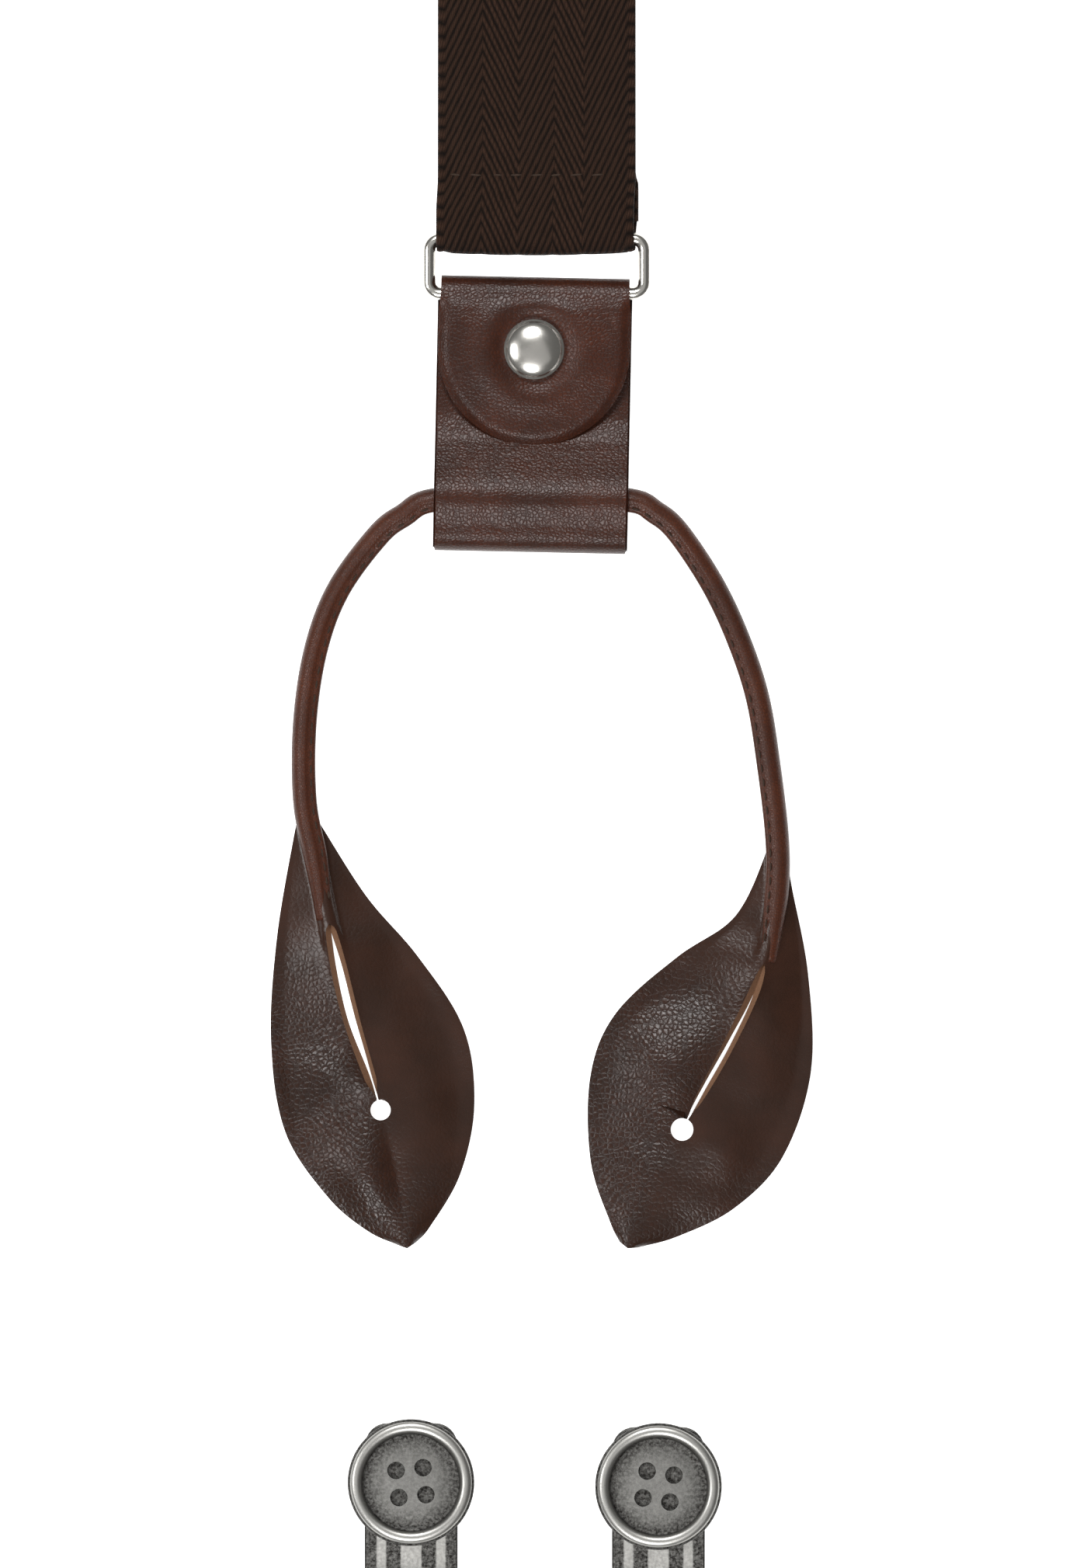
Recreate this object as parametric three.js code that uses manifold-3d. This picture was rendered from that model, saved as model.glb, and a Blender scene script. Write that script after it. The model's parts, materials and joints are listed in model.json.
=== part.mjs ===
// Y-back suspenders: elastic webbing, a leather patch, three leather button ends and two clip-on buttons.
// They lie flat and face up. All sizes are in millimetres, +Z is up and +Y points to the shoulders.
import * as THREE from "three";
import { mergeVertices } from "three/addons/utils/BufferGeometryUtils.js";
import Module from "manifold-3d";

const wasm = await Module();
wasm.setup();

// ---- driving dimensions -------------------------------------------------------------------------

const CLEAR = 0.3; // running gap between pieces that touch or slide

// webbing
const WEB_WIDTH = 35;
const WEB_THICK = 1.5;
const LOOP_TAIL = 14; // length of the webbing loop above the ring, up to its turned-under end
const TUCK_BACK = 2.75; // where the turned-under end stops, measured from the ring's upper bar
const SPREAD = THREE.MathUtils.degToRad(18); // each front strap leans out by this angle

// ring
const WIRE = 2.3;
const BAR_PITCH = 9.7; // distance between the ring's two long bars
const RING_SIDE_GAP = 0.4; // beside the webbing, at each end of the ring
const RING_CORNER = 2; // radius of the wire's centre line in a corner

// leather tab
const LEATHER = 1.3;
const TAB_WIDTH = 34.4;
const FLAP_WIDTH = 33;
const FLAP_LENGTH = 26.8; // below the ring's lower bar
const TAB_LENGTH = 45.8; // below the ring's lower bar
const TAB_SHIFT = -0.25;
const TAB_LEAN = THREE.MathUtils.degToRad(-1.2);
const TAB_BAR_GAP = 0.5; // inside the fold round the ring's lower bar, wide enough for the lean
const TUNNEL_RADIUS = 3.5; // centre line of the bottom fold
const FRONT_LAYER_START = 3.9; // the inner end of the tab's front layer, below the ring's lower bar

// snap fastener
const SNAP_DROP = 9.9; // below the ring's lower bar
const CAP_RADIUS = 5.25;
const CAP_RISE = 1.9;
const SNAP_STACK = 2.3; // between the tab's front layer and the flap, where socket and stud sit
const SNAP_STEM = 1.4;
const SOCKET_RADIUS = 4.4;
const SOCKET_BORE = 2.95;
const STUD_HEAD = 2.5;
const POST_FLANGE = 4;
const POST_STEM = 1.3;

// runner: rolled leather cord with two leaf ends
const RUNNER_DROP = 36.2; // below the ring's lower bar
const ROLL_RADIUS = 2.25;
const ROLL_HEIGHT_IN_TUNNEL = 4.1;
const CORE_RADIUS = 0.95;
const LEAF_THICK = 1.2;
const LEFT_HOLE = 1.8;
const RIGHT_HOLE = 2;
const SLIT_HALF_WIDTH = 1.1;

// leather patch where the three straps meet
const PATCH_Y = 145; // above the back ring
const PATCH_LEATHER = 1.2;
const PATCH_WIDTH = 39; // of the leg over the back strap
const PATCH_LEG = 25;

// front straps
const SHOULDER_Y = 275; // the fold at the top
const FOLD_RADIUS = 4;
const ADJUSTER_Y = 95; // above the front ring

// adjuster
const BAR_RADIUS = 1.1;
const ADJUSTER_OPENING = 16; // between its two bars
const SIDE_THICK = 1.6;
const PIN_RADIUS = 0.7;
const COVER_THICK = 1;

// clip-on button
const CLIP_WIDTH = 16.4;
const CLIP_TOP = 10.3; // above the button's centre
const CLIP_BOTTOM = 31.5; // below the button's centre
const SHEET = 1;
const HINGE_DROP = 11; // below the button's centre
const HINGE_HEIGHT = 2.9;
const CLIP_PIN_RADIUS = 0.9;
const SPRING_RADIUS = 1.5;
const SPRING_WIRE = 0.6;
const BUTTON_RADIUS = 11.2;
const BUTTON_RECESS = 8.5;
const BUTTON_THICK = 2.9;
const HANDLE_HEIGHT = 7.5; // centre of the front jaw's handle, above the ground
const SHANK_LENGTH = 2.6; // between the handle's rib and the button
const BUTTON_HOLE = 1.6;
const BUTTON_HOLE_PITCH = 4.8;
const SHANK_RADIUS = 3;
const RIB_RISE = 0.45; // of the front jaw's ribs

// ---- finishes -----------------------------------------------------------------------------------

const finish = (color, roughness, metalness = 0) =>
  new THREE.MeshStandardMaterial({ color, roughness, metalness });
const WEBBING = finish(0x32231c, 0.85);
const TAB_LEATHER = finish(0x46302a, 0.55);
const CORE_CORD = finish(0xcbb99a, 0.9);
const NICKEL = finish(0xb9b6b0, 0.25, 1);
const ANTIQUE_SILVER = finish(0x8d8984, 0.35, 1);
const SPRING_STEEL = finish(0x7c7c7e, 0.35, 1);

// ---- solid helpers ------------------------------------------------------------------------------

const vec = (x, y, z) => new THREE.Vector3(x, y, z);

// A closed mesh as a manifold solid: only positions are kept and shared corners are merged.
function solidOf(geometry) {
  const bare = new THREE.BufferGeometry();
  bare.setAttribute("position", geometry.getAttribute("position"));
  bare.setIndex(geometry.getIndex());
  const merged = mergeVertices(bare, 1e-4);
  return new wasm.Manifold(
    new wasm.Mesh({
      numProp: 3,
      vertProperties: merged.getAttribute("position").array,
      triVerts: new Uint32Array(merged.getIndex().array),
    }),
  );
}

function geometryOf(solid) {
  const { vertProperties, triVerts, numProp, numVert } = solid.getMesh();
  const positions = new Float32Array(numVert * 3);
  for (let i = 0; i < numVert; i++) {
    positions.set(vertProperties.subarray(i * numProp, i * numProp + 3), i * 3);
  }
  const geometry = new THREE.BufferGeometry();
  geometry.setAttribute("position", new THREE.BufferAttribute(positions, 3));
  geometry.setIndex(new THREE.BufferAttribute(triVerts, 1));
  geometry.computeVertexNormals();
  return geometry;
}

const join = (first, ...rest) =>
  geometryOf(rest.reduce((solid, piece) => solid.add(solidOf(piece)), solidOf(first)));
const cut = (first, ...tools) =>
  geometryOf(tools.reduce((solid, tool) => solid.subtract(solidOf(tool)), solidOf(first)));

// The volume under a mesh's faces, negative where they point inwards.
function signedVolume(points, triangles) {
  let volume = 0;
  for (let i = 0; i < triangles.length; i += 3) {
    const [a, b, c] = [points[triangles[i]], points[triangles[i + 1]], points[triangles[i + 2]]];
    volume += a.dot(b.clone().cross(c));
  }
  return volume;
}

// A skin over a row of sections, all with the same number of points, closed by flat ends or into a ring.
function loft(sections, ring = false) {
  const count = sections[0].length;
  const points = sections.flat();
  const triangles = [];
  const spans = ring ? sections.length : sections.length - 1;
  for (let s = 0; s < spans; s++) {
    const here = s * count;
    const next = ((s + 1) % sections.length) * count;
    for (let k = 0; k < count; k++) {
      const l = (k + 1) % count;
      triangles.push(here + k, here + l, next + k, next + k, here + l, next + l);
    }
  }
  if (!ring) {
    const last = points.length - count;
    for (let k = 1; k < count - 1; k++) {
      triangles.push(0, k + 1, k, last, last + k, last + k + 1);
    }
  }
  if (signedVolume(points, triangles) < 0) triangles.reverse();
  const geometry = new THREE.BufferGeometry().setFromPoints(points);
  geometry.setIndex(triangles);
  geometry.computeVertexNormals();
  return geometry;
}

// A sheet of one thickness that follows a centre line in the Y-Z plane, with its straight width along X.
// lean moves the sheet sideways by that share of the length already covered.
function band(path, thickness, width, lean = 0) {
  let covered = 0;
  const sections = path.map((point, i) => {
    const before = path[Math.max(i - 1, 0)];
    const after = path[Math.min(i + 1, path.length - 1)];
    covered += point.distanceTo(before);
    const along = after.clone().sub(before).normalize();
    const half = new THREE.Vector2(-along.y, along.x).multiplyScalar(thickness / 2);
    const middle = covered * lean;
    return [
      vec(middle - width / 2, point.x - half.x, point.y - half.y),
      vec(middle + width / 2, point.x - half.x, point.y - half.y),
      vec(middle + width / 2, point.x + half.x, point.y + half.y),
      vec(middle - width / 2, point.x + half.x, point.y + half.y),
    ];
  });
  return loft(sections);
}

// A centre line through [y, z] points and arcs. An arc is { centre, radius, from, to }, with its
// angles in degrees from +Y towards +Z.
function centreLine(entries, arcSteps = 8) {
  const points = [];
  for (const entry of entries) {
    if (Array.isArray(entry)) {
      points.push(new THREE.Vector2(...entry));
      continue;
    }
    for (let i = 0; i <= arcSteps; i++) {
      const angle = THREE.MathUtils.degToRad(THREE.MathUtils.lerp(entry.from, entry.to, i / arcSteps));
      points.push(
        new THREE.Vector2(
          entry.centre[0] + entry.radius * Math.cos(angle),
          entry.centre[1] + entry.radius * Math.sin(angle),
        ),
      );
    }
  }
  return points.filter((point, i) => i === 0 || point.distanceTo(points[i - 1]) > 0.05);
}

// A smooth change of height between two flat stretches, as [y, z] points.
function ramp(fromY, fromZ, toY, toZ, steps = 5) {
  return Array.from({ length: steps + 1 }, (_, i) => {
    const t = i / steps;
    return [THREE.MathUtils.lerp(fromY, toY, t), THREE.MathUtils.lerp(fromZ, toZ, t * t * (3 - 2 * t))];
  });
}

// A round rod between two points, or a cone when its end has another radius.
function rod(from, to, radius, sides = 12, endRadius = radius) {
  const axis = to.clone().sub(from);
  const geometry = new THREE.CylinderGeometry(endRadius, radius, axis.length(), sides);
  geometry.applyQuaternion(new THREE.Quaternion().setFromUnitVectors(vec(0, 1, 0), axis.clone().normalize()));
  return geometry.translate(...from.clone().addScaledVector(axis, 0.5).toArray());
}

const crossRod = (y, z, halfWidth, radius, sides = 12) =>
  rod(vec(-halfWidth, y, z), vec(halfWidth, y, z), radius, sides);
const uprightRod = (x, y, fromZ, toZ, radius, sides = 16) =>
  rod(vec(x, y, fromZ), vec(x, y, toZ), radius, sides);

function box(fromX, toX, fromY, toY, fromZ, toZ) {
  const geometry = new THREE.BoxGeometry(toX - fromX, toY - fromY, toZ - fromZ);
  return geometry.translate((fromX + toX) / 2, (fromY + toY) / 2, (fromZ + toZ) / 2);
}

// A turned shape about Z from [radius, z] points that start and end on the axis or close on themselves.
function turned(profile, sides = 24) {
  const points = profile.map(([radius, z]) => new THREE.Vector2(radius, z));
  const geometry = new THREE.LatheGeometry(points, sides).rotateX(Math.PI / 2);
  return geometryOf(solidOf(geometry));
}

// A flat plate from an outline in the X-Y plane.
function plate(shape, fromZ, toZ, curveSegments = 8) {
  const geometry = new THREE.ExtrudeGeometry(shape, {
    depth: toZ - fromZ,
    bevelEnabled: false,
    curveSegments,
  });
  return geometry.translate(0, 0, fromZ);
}

function shapeOf(points) {
  return new THREE.Shape(points.map(([x, y]) => new THREE.Vector2(x, y)));
}

// A cord of one radius along a curve, with a step about every CORD_STEP mm and an even number of sides.
const CORD_STEP = 7;
function cordAlong(curve, radius, sides, steps = Math.ceil(curve.getLength() / CORD_STEP)) {
  const section = new THREE.Shape().absarc(0, 0, radius, 0, 2 * Math.PI);
  return new THREE.ExtrudeGeometry(section, {
    steps,
    bevelEnabled: false,
    extrudePath: curve,
    curveSegments: sides / 2,
  });
}

function piece(name, geometry, material) {
  const mesh = new THREE.Mesh(geometry, material);
  mesh.name = name;
  return mesh;
}

function group(...children) {
  return new THREE.Group().add(...children);
}

// ---- heights of the layers ----------------------------------------------------------------------

const WEB_LOW = WEB_THICK / 2; // centre of a webbing layer on the ground
const WEB_UP = WEB_LOW + WEB_THICK + CLEAR; // centre of the layer on top of it
const UNDER_BAR = Math.max(WEB_THICK + CLEAR, LEATHER + TAB_BAR_GAP);
const BAR_HEIGHT = UNDER_BAR + WIRE / 2; // of the ring's bars
const LOOP_RADIUS = WIRE / 2 + CLEAR + WEB_THICK / 2;
const LOOP_TOP = BAR_HEIGHT + LOOP_RADIUS;
const LEATHER_LOW = LEATHER / 2;
const TAB_LOOP_RADIUS = BAR_HEIGHT - LEATHER_LOW;
const TAB_TOP = BAR_HEIGHT + TAB_LOOP_RADIUS;
const TAB_FRONT = LEATHER_LOW + LEATHER + CLEAR; // centre of the tab's front layer
const TUNNEL_CENTRE = LEATHER_LOW + TUNNEL_RADIUS;
const TUNNEL_TOP = TUNNEL_CENTRE + TUNNEL_RADIUS;
const FLAP_AT_SNAP = TAB_FRONT + LEATHER + SNAP_STACK;
const FLAP_TIP = FLAP_AT_SNAP - 0.25;

// ---- strap end: ring, tab, snap, runner ---------------------------------------------------------

// Wire bent to a rectangle with round corners, its two long bars across the strap.
function ringGeometry() {
  const halfLong = WEB_WIDTH / 2 + RING_SIDE_GAP + WIRE / 2;
  const outline = new THREE.Path();
  const [right, top, r] = [halfLong, 0, RING_CORNER];
  const bottom = -BAR_PITCH;
  outline.moveTo(-right + r, top).lineTo(right - r, top);
  outline.absarc(right - r, top - r, r, Math.PI / 2, 0, true);
  outline.lineTo(right, bottom + r);
  outline.absarc(right - r, bottom + r, r, 0, -Math.PI / 2, true);
  outline.lineTo(-right + r, bottom);
  outline.absarc(-right + r, bottom + r, r, -Math.PI / 2, -Math.PI, true);
  outline.lineTo(-right, top - r);
  outline.absarc(-right + r, top - r, r, Math.PI, Math.PI / 2, true);
  const corners = outline.getPoints(2).filter((p, i, all) => i === 0 || p.distanceTo(all[i - 1]) > 0.01);
  if (corners[0].distanceTo(corners.at(-1)) < 0.01) corners.pop();
  const sides = 8;
  const sections = corners.map((point, i) => {
    const before = corners[(i + corners.length - 1) % corners.length];
    const after = corners[(i + 1) % corners.length];
    const along = after.clone().sub(before).normalize();
    return Array.from({ length: sides }, (_, k) => {
      const angle = (2 * Math.PI * k) / sides;
      const out = (WIRE / 2) * Math.cos(angle);
      return vec(point.x - along.y * out, point.y + along.x * out, BAR_HEIGHT + (WIRE / 2) * Math.sin(angle));
    });
  });
  return loft(sections, true);
}

// The leather strip from the top of the ring's lower bar, round it, down the back, round the runner
// and up the front to just below the bar. Y is measured from the lower bar.
function tabStrapGeometry() {
  const foldY = -TAB_LENGTH + TUNNEL_RADIUS + LEATHER_LOW;
  const line = centreLine([
    { centre: [0, BAR_HEIGHT], radius: TAB_LOOP_RADIUS, from: 90, to: -90 },
    [foldY / 2, LEATHER_LOW],
    { centre: [foldY, TUNNEL_CENTRE], radius: TUNNEL_RADIUS, from: 270, to: 90 },
    [-RUNNER_DROP, TUNNEL_TOP - 0.15],
    [-RUNNER_DROP + 3.2, TUNNEL_TOP - 0.45],
    [-RUNNER_DROP + 6.7, TAB_FRONT + 3.1],
    [-RUNNER_DROP + 10.2, TAB_FRONT + 1.2],
    [-RUNNER_DROP + 14.2, TAB_FRONT + 0.2],
    [-RUNNER_DROP + 18, TAB_FRONT],
    [-FRONT_LAYER_START, TAB_FRONT],
  ]);
  const holes = uprightRod(0, -SNAP_DROP, -1, TAB_FRONT + LEATHER, POST_STEM + CLEAR);
  const recess = uprightRod(0, -SNAP_DROP, -1, LEATHER_LOW - 0.1, POST_FLANGE + 0.2, 24);
  return cut(band(line, LEATHER, TAB_WIDTH), holes, recess);
}

// The front end of the strip: it lies over the snap and ends in a half round.
function tabFlapGeometry() {
  const line = centreLine([
    [-CLEAR, TAB_TOP],
    [-SNAP_DROP / 4, (TAB_TOP + FLAP_AT_SNAP) / 2 + 0.05],
    [-SNAP_DROP + SOCKET_RADIUS + CLEAR, FLAP_AT_SNAP],
    [-SNAP_DROP - SOCKET_RADIUS - CLEAR, FLAP_AT_SNAP],
    [-FLAP_LENGTH, FLAP_TIP],
  ]);
  const strip = band(line, LEATHER, FLAP_WIDTH);
  const half = FLAP_WIDTH / 2;
  const outline = new THREE.Shape();
  outline.moveTo(-half - 1, 2).lineTo(-half, -FLAP_LENGTH + half);
  outline.absarc(0, -FLAP_LENGTH + half, half, Math.PI, 2 * Math.PI);
  outline.lineTo(half + 1, 2);
  const rounded = solidOf(strip).intersect(solidOf(plate(outline, 0, TAB_TOP + 10, 16)));
  const hole = uprightRod(0, -SNAP_DROP, 0, TAB_TOP + 10, SNAP_STEM + CLEAR);
  return geometryOf(rounded.subtract(solidOf(hole)));
}

const snapProfiles = () => {
  const flapTop = FLAP_AT_SNAP + LEATHER_LOW;
  const flapUnder = FLAP_AT_SNAP - LEATHER_LOW;
  const capUnder = flapTop + 0.15;
  const socketTop = flapUnder - 0.1;
  const socketLow = socketTop - 1.5;
  const studLow = TAB_FRONT + LEATHER_LOW + 0.1;
  const studFlange = studLow + 0.45;
  const headTop = socketTop - 0.6;
  const postLow = 0.05;
  return {
    cap: [
      [0, flapUnder - 0.25],
      [SNAP_STEM, flapUnder - 0.25],
      [SNAP_STEM, capUnder],
      [CAP_RADIUS, capUnder],
      [CAP_RADIUS, capUnder + 0.5],
      [CAP_RADIUS * 0.86, capUnder + 1.2],
      [CAP_RADIUS * 0.55, capUnder + CAP_RISE * 0.88],
      [0, capUnder + CAP_RISE],
    ],
    socket: [
      [SOCKET_BORE, socketLow],
      [SOCKET_RADIUS, socketLow],
      [SOCKET_RADIUS, socketTop],
      [SNAP_STEM + CLEAR, socketTop],
      [SNAP_STEM + CLEAR, socketTop - 0.35],
      [SOCKET_BORE, socketTop - 0.35],
      [SOCKET_BORE, socketLow],
    ],
    stud: [
      [POST_STEM + CLEAR, studLow],
      [SOCKET_RADIUS - 0.2, studLow],
      [SOCKET_RADIUS - 0.2, studFlange],
      [STUD_HEAD - 0.4, studFlange],
      [STUD_HEAD, (studFlange + headTop) / 2],
      [STUD_HEAD - 0.3, headTop],
      [POST_STEM + CLEAR, headTop],
      [POST_STEM + CLEAR, studLow],
    ],
    post: [
      [0, postLow],
      [POST_FLANGE, postLow],
      [POST_FLANGE, postLow + 0.35],
      [POST_STEM, postLow + 0.35],
      [POST_STEM, headTop - 0.15],
      [0, headTop - 0.15],
    ],
  };
};

// The roll's centre line: straight through the tab, then out and down along both arms.
// Points are [x, y] from the middle of the tunnel, and the roll sinks to the ground as it leaves the tab.
const LEFT_ARM = [[-17, -0.3], [-22.5, -3], [-27, -6.5], [-34, -16], [-38, -26.5], [-40, -39.5],
  [-40, -53.5], [-38, -64], [-36.5, -74.5]];
const RIGHT_ARM = [[17, -0.3], [22, -2.5], [26, -6], [32, -15], [36.5, -24.5], [40, -35], [42, -47],
  [43.5, -60], [43.5, -69], [42, -82]];

function rollHeight(x, y) {
  const away = Math.hypot(Math.max(Math.abs(x) - TAB_WIDTH / 2, 0), y);
  const sink = THREE.MathUtils.smoothstep(away, 1, 22);
  return THREE.MathUtils.lerp(ROLL_HEIGHT_IN_TUNNEL, ROLL_RADIUS + 0.1, sink);
}

const rollCurve = new THREE.CatmullRomCurve3(
  [...LEFT_ARM.toReversed(), [0, 0.1], ...RIGHT_ARM].map(([x, y]) => vec(x, y, rollHeight(x, y))),
);

// Each leaf: an outline, and a slit that runs from the roll's end to a round hole.
const LEAVES = {
  left: {
    tip: [-22, -132.5],
    outer: [[-42, -60], [-45, -78], [-46, -96], [-43.5, -112], [-36, -123.5], [-29, -129.5]],
    inner: [[-18, -129], [-12.5, -119.5], [-10, -107], [-12, -93.5], [-20, -81], [-29, -70.5], [-37, -58]],
    slit: [-35.5, -76],
    hole: [-26.5, -108.5],
    radius: LEFT_HOLE,
  },
  right: {
    tip: [17.5, -132.5],
    outer: [[46, -68], [49, -84], [49.5, -101.5], [44.5, -116.5], [36, -125.5], [26, -130.5]],
    inner: [[14, -128], [10.5, -117], [10.5, -102], [15, -91], [26, -81], [36, -74], [41, -62]],
    slit: [41, -83],
    hole: [26.5, -112],
    radius: RIGHT_HOLE,
  },
};

function leafGeometry({ tip, outer, inner, slit, hole, radius }) {
  const toVectors = (points) => points.map(([x, y]) => new THREE.Vector2(x, y));
  const outline = new THREE.Shape();
  outline.moveTo(...outer[0]);
  outline.splineThru(toVectors([...outer.slice(1), tip]));
  outline.splineThru(toVectors(inner));
  const leaf = plate(outline, 0, LEAF_THICK, 4);
  const from = new THREE.Vector2(...slit);
  const to = new THREE.Vector2(...hole);
  const middle = from.clone().lerp(to, 0.45);
  const across = to.clone().sub(from).normalize().rotateAround(new THREE.Vector2(), Math.PI / 2);
  const side = (sign) => middle.clone().addScaledVector(across, sign * SLIT_HALF_WIDTH);
  const opening = new THREE.Shape([from, side(1), to, side(-1)]);
  return cut(leaf, plate(opening, -1, LEAF_THICK + 1), uprightRod(...hole, -1, LEAF_THICK + 1, radius, 12));
}

// The channel for the core runs out through both ends of the roll.
function runnerGeometry() {
  const roll = cordAlong(rollCurve, ROLL_RADIUS, 8);
  const bore = CORE_RADIUS + CLEAR;
  const mouths = [0, 1].map((t) => {
    const outwards = rollCurve.getTangentAt(t).multiplyScalar(t ? 1 : -1);
    const end = rollCurve.getPointAt(t);
    return rod(end.clone().addScaledVector(outwards, -1), end.clone().addScaledVector(outwards, 2), bore, 8);
  });
  const body = join(roll, leafGeometry(LEAVES.left), leafGeometry(LEAVES.right));
  return cut(body, cordAlong(rollCurve, bore, 6), ...mouths);
}

// Everything below the webbing's loop, in the end's own frame: the origin is on the ground under the
// middle of the ring's upper bar, and -Y points to the leaf tips.
function strapEnd(side) {
  const snap = snapProfiles();
  const snapPiece = (name, profile) => {
    const mesh = piece(`${side}_${name}`, turned(profile, 16), NICKEL);
    mesh.position.y = -SNAP_DROP;
    return mesh;
  };
  const tab = group(
    piece(`${side}_tab_strap`, tabStrapGeometry(), TAB_LEATHER),
    piece(`${side}_tab_flap`, tabFlapGeometry(), TAB_LEATHER),
    snapPiece("snap_cap", snap.cap),
    snapPiece("snap_socket", snap.socket),
    snapPiece("snap_stud", snap.stud),
    snapPiece("snap_post", snap.post),
  );
  tab.position.set(TAB_SHIFT, -BAR_PITCH, 0);
  tab.rotation.z = TAB_LEAN;
  const runner = group(
    piece(`${side}_runner`, runnerGeometry(), TAB_LEATHER),
    piece(`${side}_runner_core`, cordAlong(rollCurve, CORE_RADIUS, 6), CORE_CORD),
  );
  runner.position.set(
    TAB_SHIFT + RUNNER_DROP * Math.sin(TAB_LEAN),
    -BAR_PITCH - RUNNER_DROP * Math.cos(TAB_LEAN),
    0,
  );
  return group(piece(`${side}_ring`, ringGeometry(), NICKEL), tab, runner);
}

// ---- webbing ------------------------------------------------------------------------------------

// The arc of webbing round a ring's upper bar, from the ground layer to the upper layer.
const ringLoop = { centre: [0, BAR_HEIGHT], radius: LOOP_RADIUS, from: -90, to: -270 };

// The back strap: turned-under tail, sewn layer, loop, then the long layer up into the patch.
function backStrapGeometry() {
  const tuck = 0.9; // radius of the turned-under end
  const sewnTop = LOOP_TOP;
  const patchRise = PATCH_LEATHER + CLEAR + WEB_LOW;
  const patchEdge = PATCH_Y - PATCH_LEG;
  const line = centreLine([
    ...ramp(PATCH_Y - CLEAR * 3, patchRise, PATCH_Y - 10, patchRise, 1),
    ...ramp(patchEdge - 2, patchRise, patchEdge - 16, WEB_LOW),
    { ...ringLoop, from: 270, to: 90 },
    [LOOP_TAIL / 2, sewnTop],
    { centre: [LOOP_TAIL - tuck, sewnTop - tuck], radius: tuck, from: 90, to: -90 },
    [TUCK_BACK, sewnTop - 2 * tuck],
  ]);
  return band(line, WEB_THICK, WEB_WIDTH);
}

// Where a front end's own frame stands: the strap leans out all the way from the patch to its ring.
const LEAN = Math.tan(SPREAD);
const CROSS_WIDTH = WEB_WIDTH / Math.cos(SPREAD); // the strap's width measured along X
const STRAP_JOIN_Y = SHOULDER_Y - 110; // where the strap's upper half meets its lower half
const STRAP_START = { x: CROSS_WIDTH - (WEB_WIDTH + CLEAR) * 1.035, y: PATCH_Y + 1 };

// The upper half of the right front strap: out of the patch, over the shoulder fold and down again.
function shoulderLine() {
  const patchRise = PATCH_LEATHER + CLEAR + WEB_LOW;
  return centreLine([
    [STRAP_START.y, patchRise],
    ...ramp(PATCH_Y + 42, patchRise, PATCH_Y + 58, WEB_LOW),
    [SHOULDER_Y - 30, WEB_LOW],
    { centre: [SHOULDER_Y - FOLD_RADIUS, WEB_LOW + FOLD_RADIUS], radius: FOLD_RADIUS, from: -90, to: 90 },
    ...ramp(SHOULDER_Y - 14, WEB_LOW + 2 * FOLD_RADIUS, SHOULDER_Y - 38, WEB_UP),
    ...ramp(SHOULDER_Y - 62, WEB_UP, SHOULDER_Y - 82, WEB_LOW),
    [STRAP_JOIN_Y, WEB_LOW],
  ]);
}

const SEWN_RADIUS = BAR_RADIUS + CLEAR + WEB_THICK / 2;
const ADJUSTER_HEIGHT = WEB_LOW + SEWN_RADIUS; // of the adjuster's bars

// The lower half, in the end's frame: through the adjuster, down to the ring, round its bar and back
// up to the adjuster's middle bar, where the end is sewn round it.
function adjusterLine() {
  const m = ADJUSTER_Y;
  const start = (STRAP_JOIN_Y + (WEB_WIDTH / 2) * Math.sin(SPREAD) + 5) / Math.cos(SPREAD);
  const overM = ADJUSTER_HEIGHT + SEWN_RADIUS + WEB_THICK + CLEAR;
  const sewnTail = 22;
  const doubled = WEB_UP + WEB_THICK + CLEAR;
  return centreLine([
    [start, WEB_LOW],
    [m + ADJUSTER_OPENING, WEB_LOW],
    [m + 12, WEB_LOW + 0.4],
    [m + 8.5, WEB_LOW + 1.9],
    [m + 5.4, WEB_LOW + 3.9],
    [m + 3, overM - 0.9],
    [m, overM],
    [m - 4, overM - 0.6],
    [m - 9, doubled + 0.3],
    [m - 13, doubled],
    [m - sewnTail - 2, doubled],
    ...ramp(m - sewnTail - 4, doubled, m - sewnTail - 12, WEB_UP, 3),
    ...ramp(LOOP_TAIL + 10, WEB_UP, LOOP_TAIL - 6, LOOP_TOP, 4),
    { ...ringLoop, from: 90, to: 270 },
    [m / 2, WEB_LOW],
    { centre: [m, ADJUSTER_HEIGHT], radius: SEWN_RADIUS, from: -90, to: 90 },
    ...ramp(m - 2, ADJUSTER_HEIGHT + SEWN_RADIUS, m - 9, WEB_UP, 3),
    [m - sewnTail, WEB_UP],
  ]);
}

// Length of webbing between the patch and the shoulder line's end, which sets how far out it has run.
function lengthOf(line) {
  return line.reduce((sum, point, i) => sum + (i ? point.distanceTo(line[i - 1]) : 0), 0);
}

function frontEndPlace() {
  const line = shoulderLine();
  const end = line.at(-1);
  const endX = STRAP_START.x + lengthOf(line) * LEAN;
  const ringY = 0;
  return { x: endX + (end.x - ringY) * LEAN, y: ringY };
}

function frontStrapGeometry() {
  const upper = band(shoulderLine(), WEB_THICK, CROSS_WIDTH, LEAN).translate(STRAP_START.x, 0, 0);
  const place = frontEndPlace();
  const lower = band(adjusterLine(), WEB_THICK, WEB_WIDTH).rotateZ(SPREAD).translate(place.x, place.y, 0);
  const otherSide = box(-60, CLEAR, 0, SHOULDER_Y, -1, 20);
  return cut(join(upper, lower), otherSide);
}

// ---- patch --------------------------------------------------------------------------------------

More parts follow.
